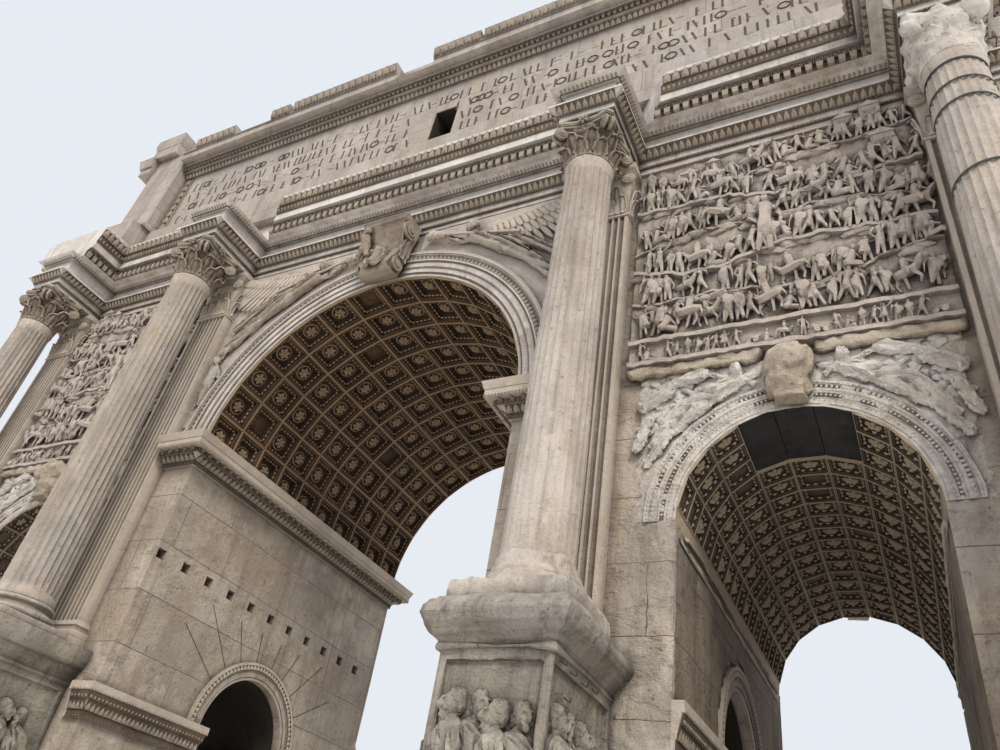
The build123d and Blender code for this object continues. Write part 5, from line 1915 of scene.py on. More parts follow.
@dataclass
class Keystones:
    """The carved brackets over the crowns of the arches."""

    back: float = -3.63
    rolls: tuple[tuple[float, float, float, float, float], ...] = (
        (0.21, 0.05, 12.88, 0.31, 0.525), (0.14, 0.09, 12.88, 0.31, 0.525),
        (0.06, 0.13, 12.88, 0.31, 0.525), (0.16, 0.05, 12.0, 0.28, 0.42), (0.09, 0.09, 12.0, 0.28, 0.42),
    )

    def scroll(self, half: float, top: float, height: float, reach: float, taper: float) -> Piece:
        """An S-shaped bracket about x = 0, wider at its top.

        Args:
            half: Half its width at the top.
            top: Height of its top.
            height: Its height.
            reach: How far it stands out.
            taper: Width at its foot as a share of the width at its top.

        Returns:
            The bracket.
        """
        shape = [(0.0, 1.0), (1.0, 1.0), (1.0, 0.93), (0.93, 0.9), (0.96, 0.82), (0.86, 0.68), (0.7, 0.55)]
        shape += [(0.66, 0.42), (0.74, 0.3), (0.84, 0.2), (0.84, 0.1), (0.7, 0.02), (0.45, 0.0)]
        shape += [(0.2, 0.06), (0.0, 0.1)]
        foot = top - height
        points = [(-half, self.back - out * reach, foot + up * height) for out, up in shape]
        piece = extruded(points, (2 * half, 0.0, 0.0))
        with editing(piece, "VERT"):
            for _, up in shape:
                pick_points(piece, lambda co, z=foot + up * height: abs(co.z - z) < 1e-4)
                share = taper + (1.0 - taper) * up
                bpy.ops.transform.resize(value=(share, 1.0, 1.0), center_override=ORIGIN)
        return outward(piece)

    def centre(self) -> Piece:
        """The great keystone: scroll, side rosettes, hanging leaf and a broken little figure."""
        top = ARCHITRAVE_BOTTOM
        body = self.scroll(0.55, top, 1.45, 0.56, 0.7)
        with editing(body):
            pick_faces(body, lambda centre, normal: normal.y < -0.75 and centre.z > 12.3)
            bpy.ops.mesh.inset(thickness=0.07, depth=-0.05)
        made = [softened(body, 0.012)]
        for side in (-1.0, 1.0):
            for radius, thick, z, reach, half in self.rolls:
                spot = moved(side * half, self.back - reach, z)
                made.append(placed(disc(ORIGIN, radius, thick, 18), spot @ turned(QUARTER, "Z")))
            turn = moved(side * 0.45, self.back - 0.22, 12.15) @ turned(side * QUARTER, "Z")
            made.append(placed(leaf(0.3, 0.62, 0.05), turn))
        hanging = moved(0.0, self.back - 0.44, 12.38) @ turned(math.pi, "Y")
        made.append(placed(leaf(0.5, 0.62, 0.16, 8), hanging))
        lumps = [
            limb((-0.30, -4.13, 12.35), (-0.36, -4.19, 12.75), 0.10, 0.09),
            ball((-0.34, -4.2, 12.88), (0.08, 0.08, 0.09)),
            limb((-0.28, -4.15, 12.4), (-0.18, -4.17, 12.15), 0.08, 0.05),
            limb((-0.36, -4.17, 12.4), (-0.42, -4.15, 12.2), 0.08, 0.05),
        ]
        made.append(moulded_clay(lumps, 0.03, 0.5))
        made.append(block(-0.33, 0.33, self.back, -WALL_Y, 12.59, top))
        return joined(made)

    def side(self) -> Piece:
        """A worn side keystone, about its own axis at x = 0."""
        lumps = [ball((0.02, self.back - 0.10, 8.20), (0.33, 0.30, 0.31), 16, 12)]
        lumps.append(ball((-0.03, self.back - 0.10, 7.93), (0.25, 0.23, 0.27), 16, 12))
        lumps.append(ball((0.12, self.back - 0.30, 8.12), (0.12, 0.10, 0.16), 10, 8))
        lumps.append(block(-0.18, 0.20, self.back - 0.22, self.back, 7.60, 7.80))
        lumps.append(block(-0.27, 0.27, self.back - 0.05, self.back + 0.05, 7.75, 8.42))
        body = worn(worn(moulded_clay(lumps, 0.03, 0.6), 0.12, 0.25), 0.05, 0.08)
        root = block(-0.26, 0.26, -3.60, -WALL_Y, 8.0, 8.47)
        return joined([body, root])

    def build(self, shop: Workshop) -> None:
        """Build each kind once and set the copies."""
        centre = mirrored(worn(worn(self.centre(), 0.03, 0.18), 0.03, 0.06), y=True)
        side = fourfold(placed(self.side(), moved(SIDE_CENTRE, 0.055, 0.0)))
        shop.show([centre], "great_keystones", Slot.CARVED, ["keystones"], ROWS)
        shop.show([side], "worn_keystones", Slot.CARVED, finish=OCHRE)


class Pose(Enum):
    """The generic figures of the reliefs, each a set of limbs on a height of one."""

    STANDING = "standing"
    MARCHING = "marching"
    ARM_RAISED = "arm raised"
    SHIELD = "shield"
    SEATED = "seated"
    HORSE = "horse"
    RIDER = "rider"
    CART = "cart"


# Limbs as (x, z) to (x, z), first and last radius
LIMBS: dict[Pose, tuple[Limb, ...]] = {
    Pose.STANDING: (
        (-0.07, 0.0, -0.05, 0.45, 0.045, 0.06), (0.08, 0.0, 0.05, 0.45, 0.045, 0.06),
        (0.0, 0.36, 0.0, 0.62, 0.12, 0.085), (0.0, 0.60, 0.0, 0.82, 0.085, 0.11),
        (-0.13, 0.80, -0.21, 0.58, 0.04, 0.035), (-0.21, 0.58, -0.08, 0.50, 0.035, 0.03),
        (0.13, 0.80, 0.21, 0.60, 0.04, 0.035), (0.21, 0.60, 0.18, 0.40, 0.035, 0.03),
    ),
    Pose.MARCHING: (
        (-0.18, 0.02, -0.03, 0.47, 0.04, 0.065), (0.17, 0.02, 0.04, 0.47, 0.04, 0.065),
        (0.0, 0.40, 0.03, 0.64, 0.12, 0.085), (0.03, 0.60, 0.06, 0.82, 0.085, 0.11),
        (-0.06, 0.80, -0.18, 0.62, 0.04, 0.035), (0.17, 0.80, 0.28, 0.66, 0.04, 0.035),
        (0.28, 0.50, 0.31, 1.04, 0.022, 0.018),
    ),
    Pose.ARM_RAISED: (
        (-0.10, 0.0, -0.05, 0.46, 0.045, 0.06), (0.13, 0.0, 0.05, 0.46, 0.045, 0.06),
        (0.0, 0.38, -0.01, 0.64, 0.12, 0.085), (-0.01, 0.60, -0.03, 0.82, 0.085, 0.11),
        (0.10, 0.80, 0.26, 0.92, 0.04, 0.035), (0.26, 0.92, 0.34, 1.10, 0.03, 0.025),
        (-0.15, 0.78, -0.25, 0.60, 0.04, 0.035), (-0.10, 0.78, -0.15, 0.28, 0.06, 0.11),
    ),
    Pose.SHIELD: (
        (-0.07, 0.0, -0.04, 0.45, 0.045, 0.06), (0.10, 0.0, 0.05, 0.45, 0.045, 0.06),
        (0.0, 0.38, 0.0, 0.82, 0.11, 0.11), (0.07, 0.46, 0.07, 0.72, 0.12, 0.12),
        (-0.14, 0.80, -0.23, 0.60, 0.04, 0.035), (-0.22, 0.30, -0.20, 1.06, 0.02, 0.015),
    ),
    Pose.SEATED: (
        (-0.18, 0.10, 0.20, 0.14, 0.10, 0.08), (0.20, 0.14, 0.22, 0.0, 0.05, 0.045),
        (-0.12, 0.12, -0.06, 0.50, 0.11, 0.10), (0.0, 0.46, 0.16, 0.30, 0.04, 0.035),
        (-0.14, 0.45, -0.24, 0.25, 0.04, 0.035),
    ),
    Pose.HORSE: (
        (-0.26, 0.50, 0.24, 0.52, 0.13, 0.14), (0.22, 0.56, 0.42, 0.88, 0.11, 0.06),
        (0.40, 0.88, 0.56, 0.76, 0.06, 0.04), (-0.24, 0.45, -0.32, 0.20, 0.07, 0.04),
        (-0.32, 0.20, -0.25, 0.0, 0.035, 0.03), (0.18, 0.42, 0.30, 0.24, 0.06, 0.04),
        (0.30, 0.24, 0.22, 0.02, 0.035, 0.03), (-0.10, 0.42, -0.06, 0.0, 0.05, 0.03),
        (-0.38, 0.55, -0.46, 0.25, 0.045, 0.025),
    ),
    Pose.CART: (
        (-0.32, 0.34, 0.32, 0.34, 0.11, 0.11), (-0.30, 0.34, -0.34, 0.62, 0.04, 0.04),
        (0.30, 0.34, 0.34, 0.56, 0.04, 0.04), (0.32, 0.30, 0.62, 0.36, 0.035, 0.025),
    ),
}
HEADS = {
    Pose.STANDING: (0.0, 0.92), Pose.MARCHING: (0.07, 0.92), Pose.ARM_RAISED: (-0.03, 0.92),
    Pose.SHIELD: (0.0, 0.92), Pose.SEATED: (-0.04, 0.62),
}
WALKERS = (Pose.STANDING, Pose.MARCHING, Pose.MARCHING, Pose.ARM_RAISED, Pose.SHIELD, Pose.SHIELD)


def folded(piece: Piece, depth: float, wave: float, lean: float = 0.2) -> Piece:
    """Press upright folds of cloth into a form that faces -Y.

    Args:
        piece: The form.
        depth: Depth of the folds.
        wave: Distance from one fold to the next.
        lean: How much the folds lean, as a share of upright.

    Returns:
        The form with its folds.
    """
    pattern = bpy.data.textures.new("folds", "WOOD")
    pattern.wood_type = "BANDNOISE"
    pattern.noise_scale = 4.0
    pattern.turbulence = 6.0
    across = 0.628 / wave
    squeeze = Matrix.Diagonal((across, across, across * lean, 1.0))
    piece.data.transform(squeeze)
    modified(
        piece, "DISPLACE", texture=pattern, strength=depth * across, direction="Y", texture_coords="LOCAL"
    )
    piece.data.transform(squeeze.inverted())
    return piece


def ground_sheet(x0: float, x1: float, z0: float, z1: float, y: float, cell: float) -> Piece:
    """A sheet of small square cells on a plane that faces -Y."""
    nx = max(1, round((x1 - x0) / cell))
    nz = max(1, round((z1 - z0) / cell))
    bpy.ops.mesh.primitive_grid_add(x_subdivisions=nx, y_subdivisions=nz, size=1.0, rotation=FACING)
    place = moved((x0 + x1) / 2, y, (z0 + z1) / 2) @ Matrix.Diagonal((x1 - x0, 1.0, z1 - z0, 1.0))
    return placed(settle(bpy.context.object), place)


@dataclass
class Carver:
    """Makes the small relief figures once and hands out their copies."""

    voxel: float = 0.020
    faces: int = 160
    patterns: dict[Pose, Piece] = field(default_factory=dict)

    def prepare(self) -> None:
        """Carve every pose."""
        for pose in Pose:
            self.patterns[pose] = self.carve(pose)

    def carve(self, pose: Pose) -> Piece:
        """One figure."""
        source = Pose.HORSE if pose is Pose.RIDER else pose
        lumps = [limb((x0, 0.0, z0), (x1, 0.0, z1), r0, r1, 7) for x0, z0, x1, z1, r0, r1 in LIMBS[source]]
        lumps += [ball((x0, 0.0, z0), (r0, r0, r0), 7, 5) for x0, z0, _, _, r0, _ in LIMBS[source]]
        if pose in HEADS:
            x, z = HEADS[pose]
            lumps.append(ball((x, -0.03, z), (0.06, 0.065, 0.075), 8, 6))
        if pose is Pose.SHIELD:
            lumps.append(disc((0.07, -0.11, 0.60), 0.15, 0.05, 12))
        if pose is Pose.RIDER:
            lumps.append(limb((-0.02, 0.0, 0.60), (0.0, 0.0, 0.96), 0.10, 0.10, 7))
            lumps.append(ball((0.0, -0.03, 1.07), (0.06, 0.065, 0.075)))
            lumps.append(limb((0.0, -0.10, 0.66), (0.08, -0.14, 0.34), 0.06, 0.04, 7))
            lumps.append(limb((0.02, -0.05, 0.92), (0.2, -0.05, 0.74), 0.04, 0.03, 6))
        if pose is Pose.CART:
            lumps += [disc((x, -0.08, 0.16), 0.15, 0.08, 12) for x in (-0.2, 0.2)]
        form = joined(lumps)
        modified(form, "REMESH", mode="VOXEL", voxel_size=self.voxel)
        modified(form, "DECIMATE", ratio=min(1.0, self.faces / (2 * len(form.data.polygons))))
        return form

    def figure(
        self, pose: Pose, x: float, y: float, z: float, height: float, lean: float, turn: float
    ) -> Piece:
        """A copy of a figure.

        Args:
            pose: Which figure.
            x: Place along the slab.
            y: Plane of the slab.
            z: Height of its feet.
            height: Its height.
            lean: Lean to one side.
            turn: Turn about its own upright axis.

        Returns:
            The copy.
        """
        place = moved(x, y, z) @ turned(lean, "Y") @ turned(turn, "Z")
        return copy_at(self.patterns[pose], place @ Matrix.Scale(height, 4))

    def clear(self) -> None:
        """Remove the patterns."""
        drop(*self.patterns.values())


def ledge(points: Sequence[Flat], y: float, reach: float, thick: float) -> Piece:
    """A wavy ground line that stands out from a slab, through (x, z) points."""
    upper = [(x, y + 0.02, z) for x, z in points]
    lower = [(x, y + 0.02, z - thick) for x, z in reversed(points)]
    return extruded(upper + lower, (0.0, -reach - 0.02, 0.0))


def house(x: float, y: float, z: float, width: float, height: float) -> list[Piece]:
    """A small gabled house with a dark doorway."""
    half = width / 2
    wall = block(x - half, x + half, y - 0.09, y + 0.02, z, z + height)
    with editing(wall):
        pick_faces(wall, lambda centre, normal: normal.y < -0.9)
        bpy.ops.mesh.inset(thickness=width * 0.28, depth=-0.05)
    eave = z + height
    gable = [(x - half * 1.15, y, eave), (x + half * 1.15, y, eave), (x, y, eave + width * 0.42)]
    return [wall, extruded(gable, (0.0, -0.11, 0.0))]


@dataclass
class Reliefs:
    """The large slabs over the side archways, with rows of small marching figures, and the low friezes."""

    x0: float = 5.30
    x1: float = 9.66
    bottom: float = 9.08
    top: float = 13.10
    plane: float = -3.59
    levels: int = 6
    line_steps: int = 48
    crumbs: int = 110
    empty_share: float = 0.05
    behind_share: float = 0.33
    heights: Flat = (0.46, 0.62)
    homes: tuple[Four, ...] = (
        (6.2, 5.15, 0.3, 0.24), (6.6, 5.2, 0.24, 0.3), (8.7, 5.2, 0.3, 0.26), (9.1, 5.15, 0.3, 0.36),
        (9.2, 4.3, 0.34, 0.3),
    )

    def level(self, row: float, x: float) -> float:
        """Height of a ground line; row 0 is the lowest of six."""
        share = (x - self.x0) / (self.x1 - self.x0)
        wave = 0.15 * math.sin(share * 5.0 + row * 1.9) + 0.07 * math.sin(share * 11.0 + row * 4.1)
        wave += 0.02 * math.sin(share * 47.0 + row)
        rise = 0.16 * (share - 0.5) * (1.0 if round(row) % 2 else -1.0)
        return self.bottom + 0.10 + row * 0.66 + (wave + rise if row > 0.5 else 0.0)

    def row(self, carver: Carver, draw: random.Random, row: int) -> list[Piece]:
        """The figures on one ground line, some of them half behind the others."""
        made = []
        x = self.x0 + 0.14
        while x < self.x1 - 0.16:
            pose = draw.choice((*WALKERS, Pose.SEATED, Pose.RIDER))
            wide = 0.36 if pose is Pose.RIDER else 0.175
            if draw.random() < self.empty_share:
                x += wide
                continue
            x += wide / 2
            z = self.level(row, x) - 0.01
            height = min(draw.uniform(*self.heights), (self.top - z) * 0.9)
            turn = draw.choice((0.4, -0.4, 0.0, 2.8))
            if height > 0.2:
                y = self.plane - 0.05 - draw.uniform(0.0, 0.03)
                made.append(carver.figure(pose, x, y, z, height, draw.uniform(-0.16, 0.16), turn))
            if draw.random() < self.behind_share and height > 0.35:
                lift = draw.uniform(0.09, 0.14)
                behind = draw.choice(WALKERS)
                spot = (x + wide / 2, self.plane - 0.01, z + lift)
                made.append(carver.figure(behind, *spot, height * 0.9, 0.1, -turn))
            x += wide / 2
        return made

    def slab(self, carver: Carver, seed: int) -> list[Piece]:
        """One large slab with its figures."""
        draw = random.Random(seed)
        sheet = worn(ground_sheet(self.x0, self.x1, self.bottom, self.top, self.plane, 0.065), 0.09, 0.20)
        made = [sheet, block(self.x0, self.x1, self.plane + 0.03, -WALL_Y, self.bottom, self.top)]
        count = self.line_steps
        xs = [self.x0 + (self.x1 - self.x0) * k / count for k in range(count + 1)]
        for row in range(self.levels):
            if row:
                line = [(x, self.level(row, x) + draw.uniform(-0.022, 0.022)) for x in xs]
                proud, thick = (0.085, 0.065) if row in (2, 4) else (0.05, 0.04)
                made.append(ledge(line, self.plane, proud, thick))
            made += self.row(carver, draw, row)
        for _ in range(self.crumbs):
            x = draw.uniform(self.x0 + 0.1, self.x1 - 0.1)
            z = self.level(draw.randint(1, 5), x) - draw.uniform(0.04, 0.11)
            size = (draw.uniform(0.10, 0.22), draw.uniform(0.05, 0.09), draw.uniform(0.04, 0.09))
            made.append(ball((x, self.plane, z), size, 7, 4, draw.uniform(-0.3, 0.3)))
        for x, row, width, height in self.homes:
            made += house(x, self.plane, self.level(row, x) + 0.12, width, height)
        giant = (7.35, self.plane - 0.08, self.level(2, 7.35) - 0.05)
        made.append(carver.figure(Pose.STANDING, *giant, 1.15, 0.05, 0.2))
        made.append(block(self.x0, self.x1, self.plane - 0.05, self.plane + 0.03, self.top - 0.05, self.top))
        return made

    def procession(self, carver: Carver, seed: int) -> list[Piece]:
        """The low frieze under a slab: two ledges and a line of figures, riders and carts."""
        draw = random.Random(seed)
        plane = -WALL_Y - 0.095
        low = self.bottom - 0.52
        made = [block(self.x0, self.x1, plane, -WALL_Y, low, self.bottom)]
        xs = [self.x0 + (self.x1 - self.x0) * k / 40 for k in range(41)]
        for z in (low + 0.10, self.bottom):
            made.append(ledge([(x, z - draw.uniform(0.0, 0.035)) for x in xs], plane, 0.085, 0.075))
        x = self.x0 + 0.12
        while x < self.x1 - 0.2:
            pose = draw.choice((*WALKERS, Pose.SEATED, Pose.RIDER, Pose.CART))
            wide = 0.30 if pose in (Pose.RIDER, Pose.CART) else 0.14
            x += wide / 2
            if draw.random() > 0.1:
                height = 0.30 if pose in (Pose.RIDER, Pose.CART) else draw.uniform(0.30, 0.37)
                lean = draw.uniform(-0.1, 0.1)
                turn = draw.choice((0.4, -0.4))
                made.append(carver.figure(pose, x, plane - 0.045, low + 0.085, height, lean, turn))
            x += wide / 2
        return made

    def rough_ledge(self) -> Piece:
        """The broken moulding under the low frieze, on both sides of the keystone."""
        made = []
        for a, b in ((self.x0 - 0.03, SIDE_CENTRE - 0.34), (SIDE_CENTRE + 0.34, self.x1 + 0.03)):
            bar = block(a, b, -WALL_Y - 0.15, -WALL_Y, self.bottom - 0.70, self.bottom - 0.50)
            made.append(moulded_clay([softened(bar, 0.05, 2)], 0.045, 0.8))
        return worn(worn(joined(made), 0.14, 0.22), 0.05, 0.08)

    def build(self, shop: Workshop) -> None:
        """Carve the right front slab and frieze, and mirror them."""
        carver = Carver()
        carver.prepare()
        slab = worn(joined(self.slab(carver, 3)), 0.035, 0.05)
        shop.show([fourfold(slab)], "relief_slabs", Slot.CARVED, ["relief_panels"], GROUND)
        frieze = worn(joined(self.procession(carver, 8)), 0.03, 0.08)
        frieze = fourfold(frieze)
        shop.show([frieze], "low_friezes", Slot.CARVED, ["procession_friezes"], GROUND)
        ledges = fourfold(self.rough_ledge())
        shop.show([ledges], "rough_ledges", Slot.CARVED, finish=OCHRE)
        carver.clear()


@dataclass
class Spandrels:
    """The winged figures beside the central arch and the resting figures beside the side arches."""

    plane: float = -3.535
    left: float = 5.24
    right: float = 9.78
    cell: float = 0.08
    ring_outside: float = 1.80
    ground_outside: float = 4.02

    def body(self, chain: Sequence[Limb], y: float, depth: float) -> list[Piece]:
        """Limbs of a large figure, flattened towards the wall.

        Args:
            chain: The limbs as (x, z) to (x, z), first and last radius.
            y: Plane of the figure's middle.
            depth: How deep it stands out, as a share of its true depth.

        Returns:
            The lumps.
        """
        lumps = []
        for x0, z0, x1, z1, r0, r1 in chain:
            lumps.append(limb((x0, 0.0, z0), (x1, 0.0, z1), r0, r1, 10))
            lumps.append(ball((x0, 0.0, z0), (r0, r0, r0), 10, 7))
            lumps.append(ball((x1, 0.0, z1), (r1, r1, r1), 10, 7))
        flat = moved(0.0, y, 0.0) @ Matrix.Diagonal((1.0, depth, 1.0, 1.0))
        return [placed(lump, flat) for lump in lumps]

    def centre_ground(self) -> Piece:
        """The smooth ground between the central arch and the pilaster."""
        radius = self.ground_outside
        first = math.acos(0.60 / radius)
        last = math.asin((9.0 - CENTRE_SPRING) / radius)
        points = []
        for k in range(25):
            turn = first + (last - first) * k / 24
            points.append((radius * math.cos(turn), -WALL_Y, CENTRE_SPRING + radius * math.sin(turn)))
        corners = ((4.26, 9.0), (4.26, ARCHITRAVE_BOTTOM), (0.60, ARCHITRAVE_BOTTOM))
        points += [(x, -WALL_Y, z) for x, z in corners]
        return extruded(points, (0.0, -0.02, 0.0))

    def winged(self) -> Piece:
        """A flying winged figure with a trophy pole and trailing dress, right of the central arch."""
        y = self.plane - 0.07
        chain = [
            (1.98, 12.58, 2.25, 12.42, 0.17, 0.18), (2.25, 12.42, 2.62, 12.15, 0.17, 0.19),
            (2.62, 12.15, 3.15, 11.72, 0.18, 0.13), (3.15, 11.72, 3.72, 11.05, 0.12, 0.08),
            (2.62, 12.20, 3.32, 11.98, 0.17, 0.12), (3.32, 11.98, 3.90, 11.50, 0.11, 0.07),
            (1.92, 12.50, 1.55, 12.60, 0.07, 0.06), (1.55, 12.60, 1.30, 12.78, 0.055, 0.05),
            (2.10, 12.66, 1.78, 12.86, 0.07, 0.05), (3.72, 11.05, 3.86, 10.98, 0.06, 0.05),
        ]
        lumps = self.body(chain, y, 0.8)
        for k in range(9):
            sway = 0.07 * math.sin(k * 2.1)
            start = (2.62 + 0.10 * k, 12.12 - 0.07 * k)
            end = (3.35 + 0.085 * k + sway, 11.62 - 0.105 * k - abs(sway))
            lumps += self.body([(*start, *end, 0.085, 0.045)], y - 0.035 * (k % 2), 0.8)
        hip = (2.6, 0.0, 12.1)
        figure = placed(moulded_clay(lumps, 0.024, 0.9), about(0.75, "Y", hip))
        placed(folded(figure, 0.05, 0.11, 0.2), about(-0.75, "Y", hip))
        skull = ball((1.84, y - 0.07, 12.82), (0.115, 0.11, 0.135), 12, 9)
        hair = ball((1.88, y - 0.04, 12.90), (0.13, 0.11, 0.10), 10, 8)
        head = moulded_clay([skull, hair], 0.02, 0.6)
        made = [modified(figure, "DECIMATE", ratio=0.35), worn(head, 0.03, 0.04)]
        made += self.wing((2.35, 12.72), (4.12, 13.04), 1.15, 15, y + 0.01)
        made.append(limb((0.80, y - 0.08, 12.93), (3.0, y - 0.10, 12.30), 0.032, 0.03, 8))
        for k in range(7):
            x = 0.86 + 0.055 * k
            centre = (x, y - 0.06 - 0.03 * (k % 2), 12.90 - 0.016 * k)
            made.append(ball(centre, (0.075, 0.07, 0.13 - 0.01 * k), 8, 6, 0.5))
        return joined(made)

    def wing(self, root: Flat, tip: Flat, length: float, count: int, y: float) -> list[Piece]:
        """A wing: an upper edge from root to tip with three rows of feathers that hang from it."""
        made = [limb((root[0], y - 0.02, root[1]), (tip[0], y, tip[1]), 0.085, 0.05, 8)]
        for row, share in enumerate((1.0, 0.62, 0.34)):
            for k in range(count):
                along = (k + 0.5 * (row % 2)) / count
                x0 = root[0] + (tip[0] - root[0]) * along
                z0 = root[1] + (tip[1] - root[1]) * along
                angle = -1.25 + 0.75 * along
                reach = length * share * (0.55 + 0.45 * math.sin(0.6 + along * 2.0))
                x1 = min(x0 + reach * math.cos(angle), 4.24)
                z1 = z0 + reach * math.sin(angle)
                centre = ((x0 + x1) / 2, y - 0.012 - 0.03 * row, (z0 + z1) / 2)
                half = math.hypot(x1 - x0, z1 - z0) / 2
                tilt = -math.atan2(z1 - z0, x1 - x0)
                made.append(ball(centre, (half, 0.032, 0.062), 6, 5, tilt))
        return made

    def small(self) -> Piece:
        """A small standing figure at the foot of the spandrel, with drapery and an offering."""
        y = self.plane - 0.04
        chain = [
            (3.98, 9.55, 3.99, 10.1, 0.08, 0.11), (4.10, 9.55, 4.07, 10.1, 0.07, 0.10),
            (4.02, 10.05, 4.02, 10.45, 0.13, 0.12), (3.92, 10.42, 3.80, 10.20, 0.05, 0.045),
            (4.12, 10.42, 4.20, 10.65, 0.05, 0.045),
        ]
        lumps = self.body(chain, y, 0.75)
        lumps.append(ball((4.02, y - 0.05, 10.65), (0.085, 0.08, 0.10), 10, 8))
        return folded(moulded_clay(lumps, 0.024, 0.3), 0.03, 0.07)

    def resting(self) -> list[Piece]:
        """A half-lying figure with heaped rocks and drapery, in the spandrel right of the right side arch."""
        y = self.plane - 0.05
        chain = [
            (8.22, 8.10, 8.50, 7.96, 0.14, 0.17), (8.50, 7.96, 9.02, 7.74, 0.15, 0.12),
            (9.02, 7.74, 9.32, 7.22, 0.11, 0.08), (8.58, 7.86, 9.06, 7.44, 0.13, 0.10),
            (9.06, 7.44, 9.42, 6.92, 0.09, 0.06), (8.24, 8.16, 8.00, 8.02, 0.06, 0.05),
            (8.36, 8.20, 8.66, 8.34, 0.06, 0.05), (8.66, 8.34, 9.05, 8.22, 0.12, 0.08),
            (9.15, 8.10, 9.48, 7.90, 0.14, 0.12), (9.42, 7.60, 9.55, 7.20, 0.10, 0.08),
        ]
        lumps = self.body(chain, y, 0.42)
        lumps.append(ball((8.20, y - 0.03, 8.30), (0.09, 0.08, 0.10), 10, 8))
        figure = folded(moulded_clay(lumps, 0.028, 0.35), 0.035, 0.10, 0.8)
        draw = random.Random(12)
        crumbs = []
        while len(crumbs) < 60:
            x, z = draw.uniform(7.9, 9.5), draw.uniform(7.1, 8.4)
            if math.hypot(x - SIDE_CENTRE, z - SIDE_SPRING) > 1.98:
                size = (draw.uniform(0.06, 0.15), draw.uniform(0.025, 0.045), draw.uniform(0.04, 0.10))
                crumbs.append(ball((x, self.plane, z), size, 7, 4, draw.uniform(-0.8, 0.8)))
        return [worn(worn(joined([figure, *crumbs]), 0.10, 0.14), 0.05, 0.05)]

    def side_ground(self, low: float, high: float) -> Piece:
        """The eroded face of the wall round the right side arch, between two heights."""
        sheet = ground_sheet(self.left, self.right, low, high, self.plane, self.cell)
        with editing(sheet):
            pick_faces(
                sheet,
                lambda at, normal: at.z > SIDE_SPRING
                and math.hypot(at.x - SIDE_CENTRE, at.z - SIDE_SPRING) < self.ring_outside,
            )
            bpy.ops.mesh.delete(type="FACE")
            pick_faces(sheet, lambda at, normal: abs(at.x - SIDE_CENTRE) < SIDE_RADIUS and at.z < SIDE_SPRING)
            bpy.ops.mesh.delete(type="FACE")
        sheet = worn(worn(sheet, 0.11, 0.34), 0.06, 0.09)
        with editing(sheet, "VERT"):
            for edge in (0.09, 0.19, 0.31):
                pick_points(sheet, lambda co: co.x < self.left + edge or co.x > self.right - edge)
                bpy.ops.transform.translate(value=(0.0, 0.025, 0.0))
            pick_points(sheet, lambda co: abs(co.x - SIDE_CENTRE) < 1.54 and co.z < SIDE_SPRING)
            bpy.ops.transform.translate(value=(0.0, 0.05, 0.0))
        return sheet

    def build(self, shop: Workshop) -> None:
        """Carve the figures of the right half and mirror them."""
        ground = fourfold(self.centre_ground())
        shop.show([ground], "spandrel_grounds", Slot.CARVED, finish=GROUND)
        winged = worn(joined([self.winged(), self.small()]), 0.03, 0.08)
        shop.show([fourfold(winged)], "winged_figures", Slot.CARVED)
        right = joined(self.resting())
        left = placed(flipped(right, 0), moved(2 * SIDE_CENTRE, 0.0, 0.0))
        side = fourfold(joined([right, left]))
        shop.show([side], "resting_figures", Slot.CARVED, finish=PALE)
        sheet = fourfold(self.side_ground(SIDE_SPRING, 8.42))
        shop.show([sheet], "rough_spandrels", Slot.CARVED, finish=PALE)
        sheet = fourfold(self.side_ground(0.03, SIDE_SPRING))
        shop.show([sheet], "rough_pier_faces", Slot.WALL)


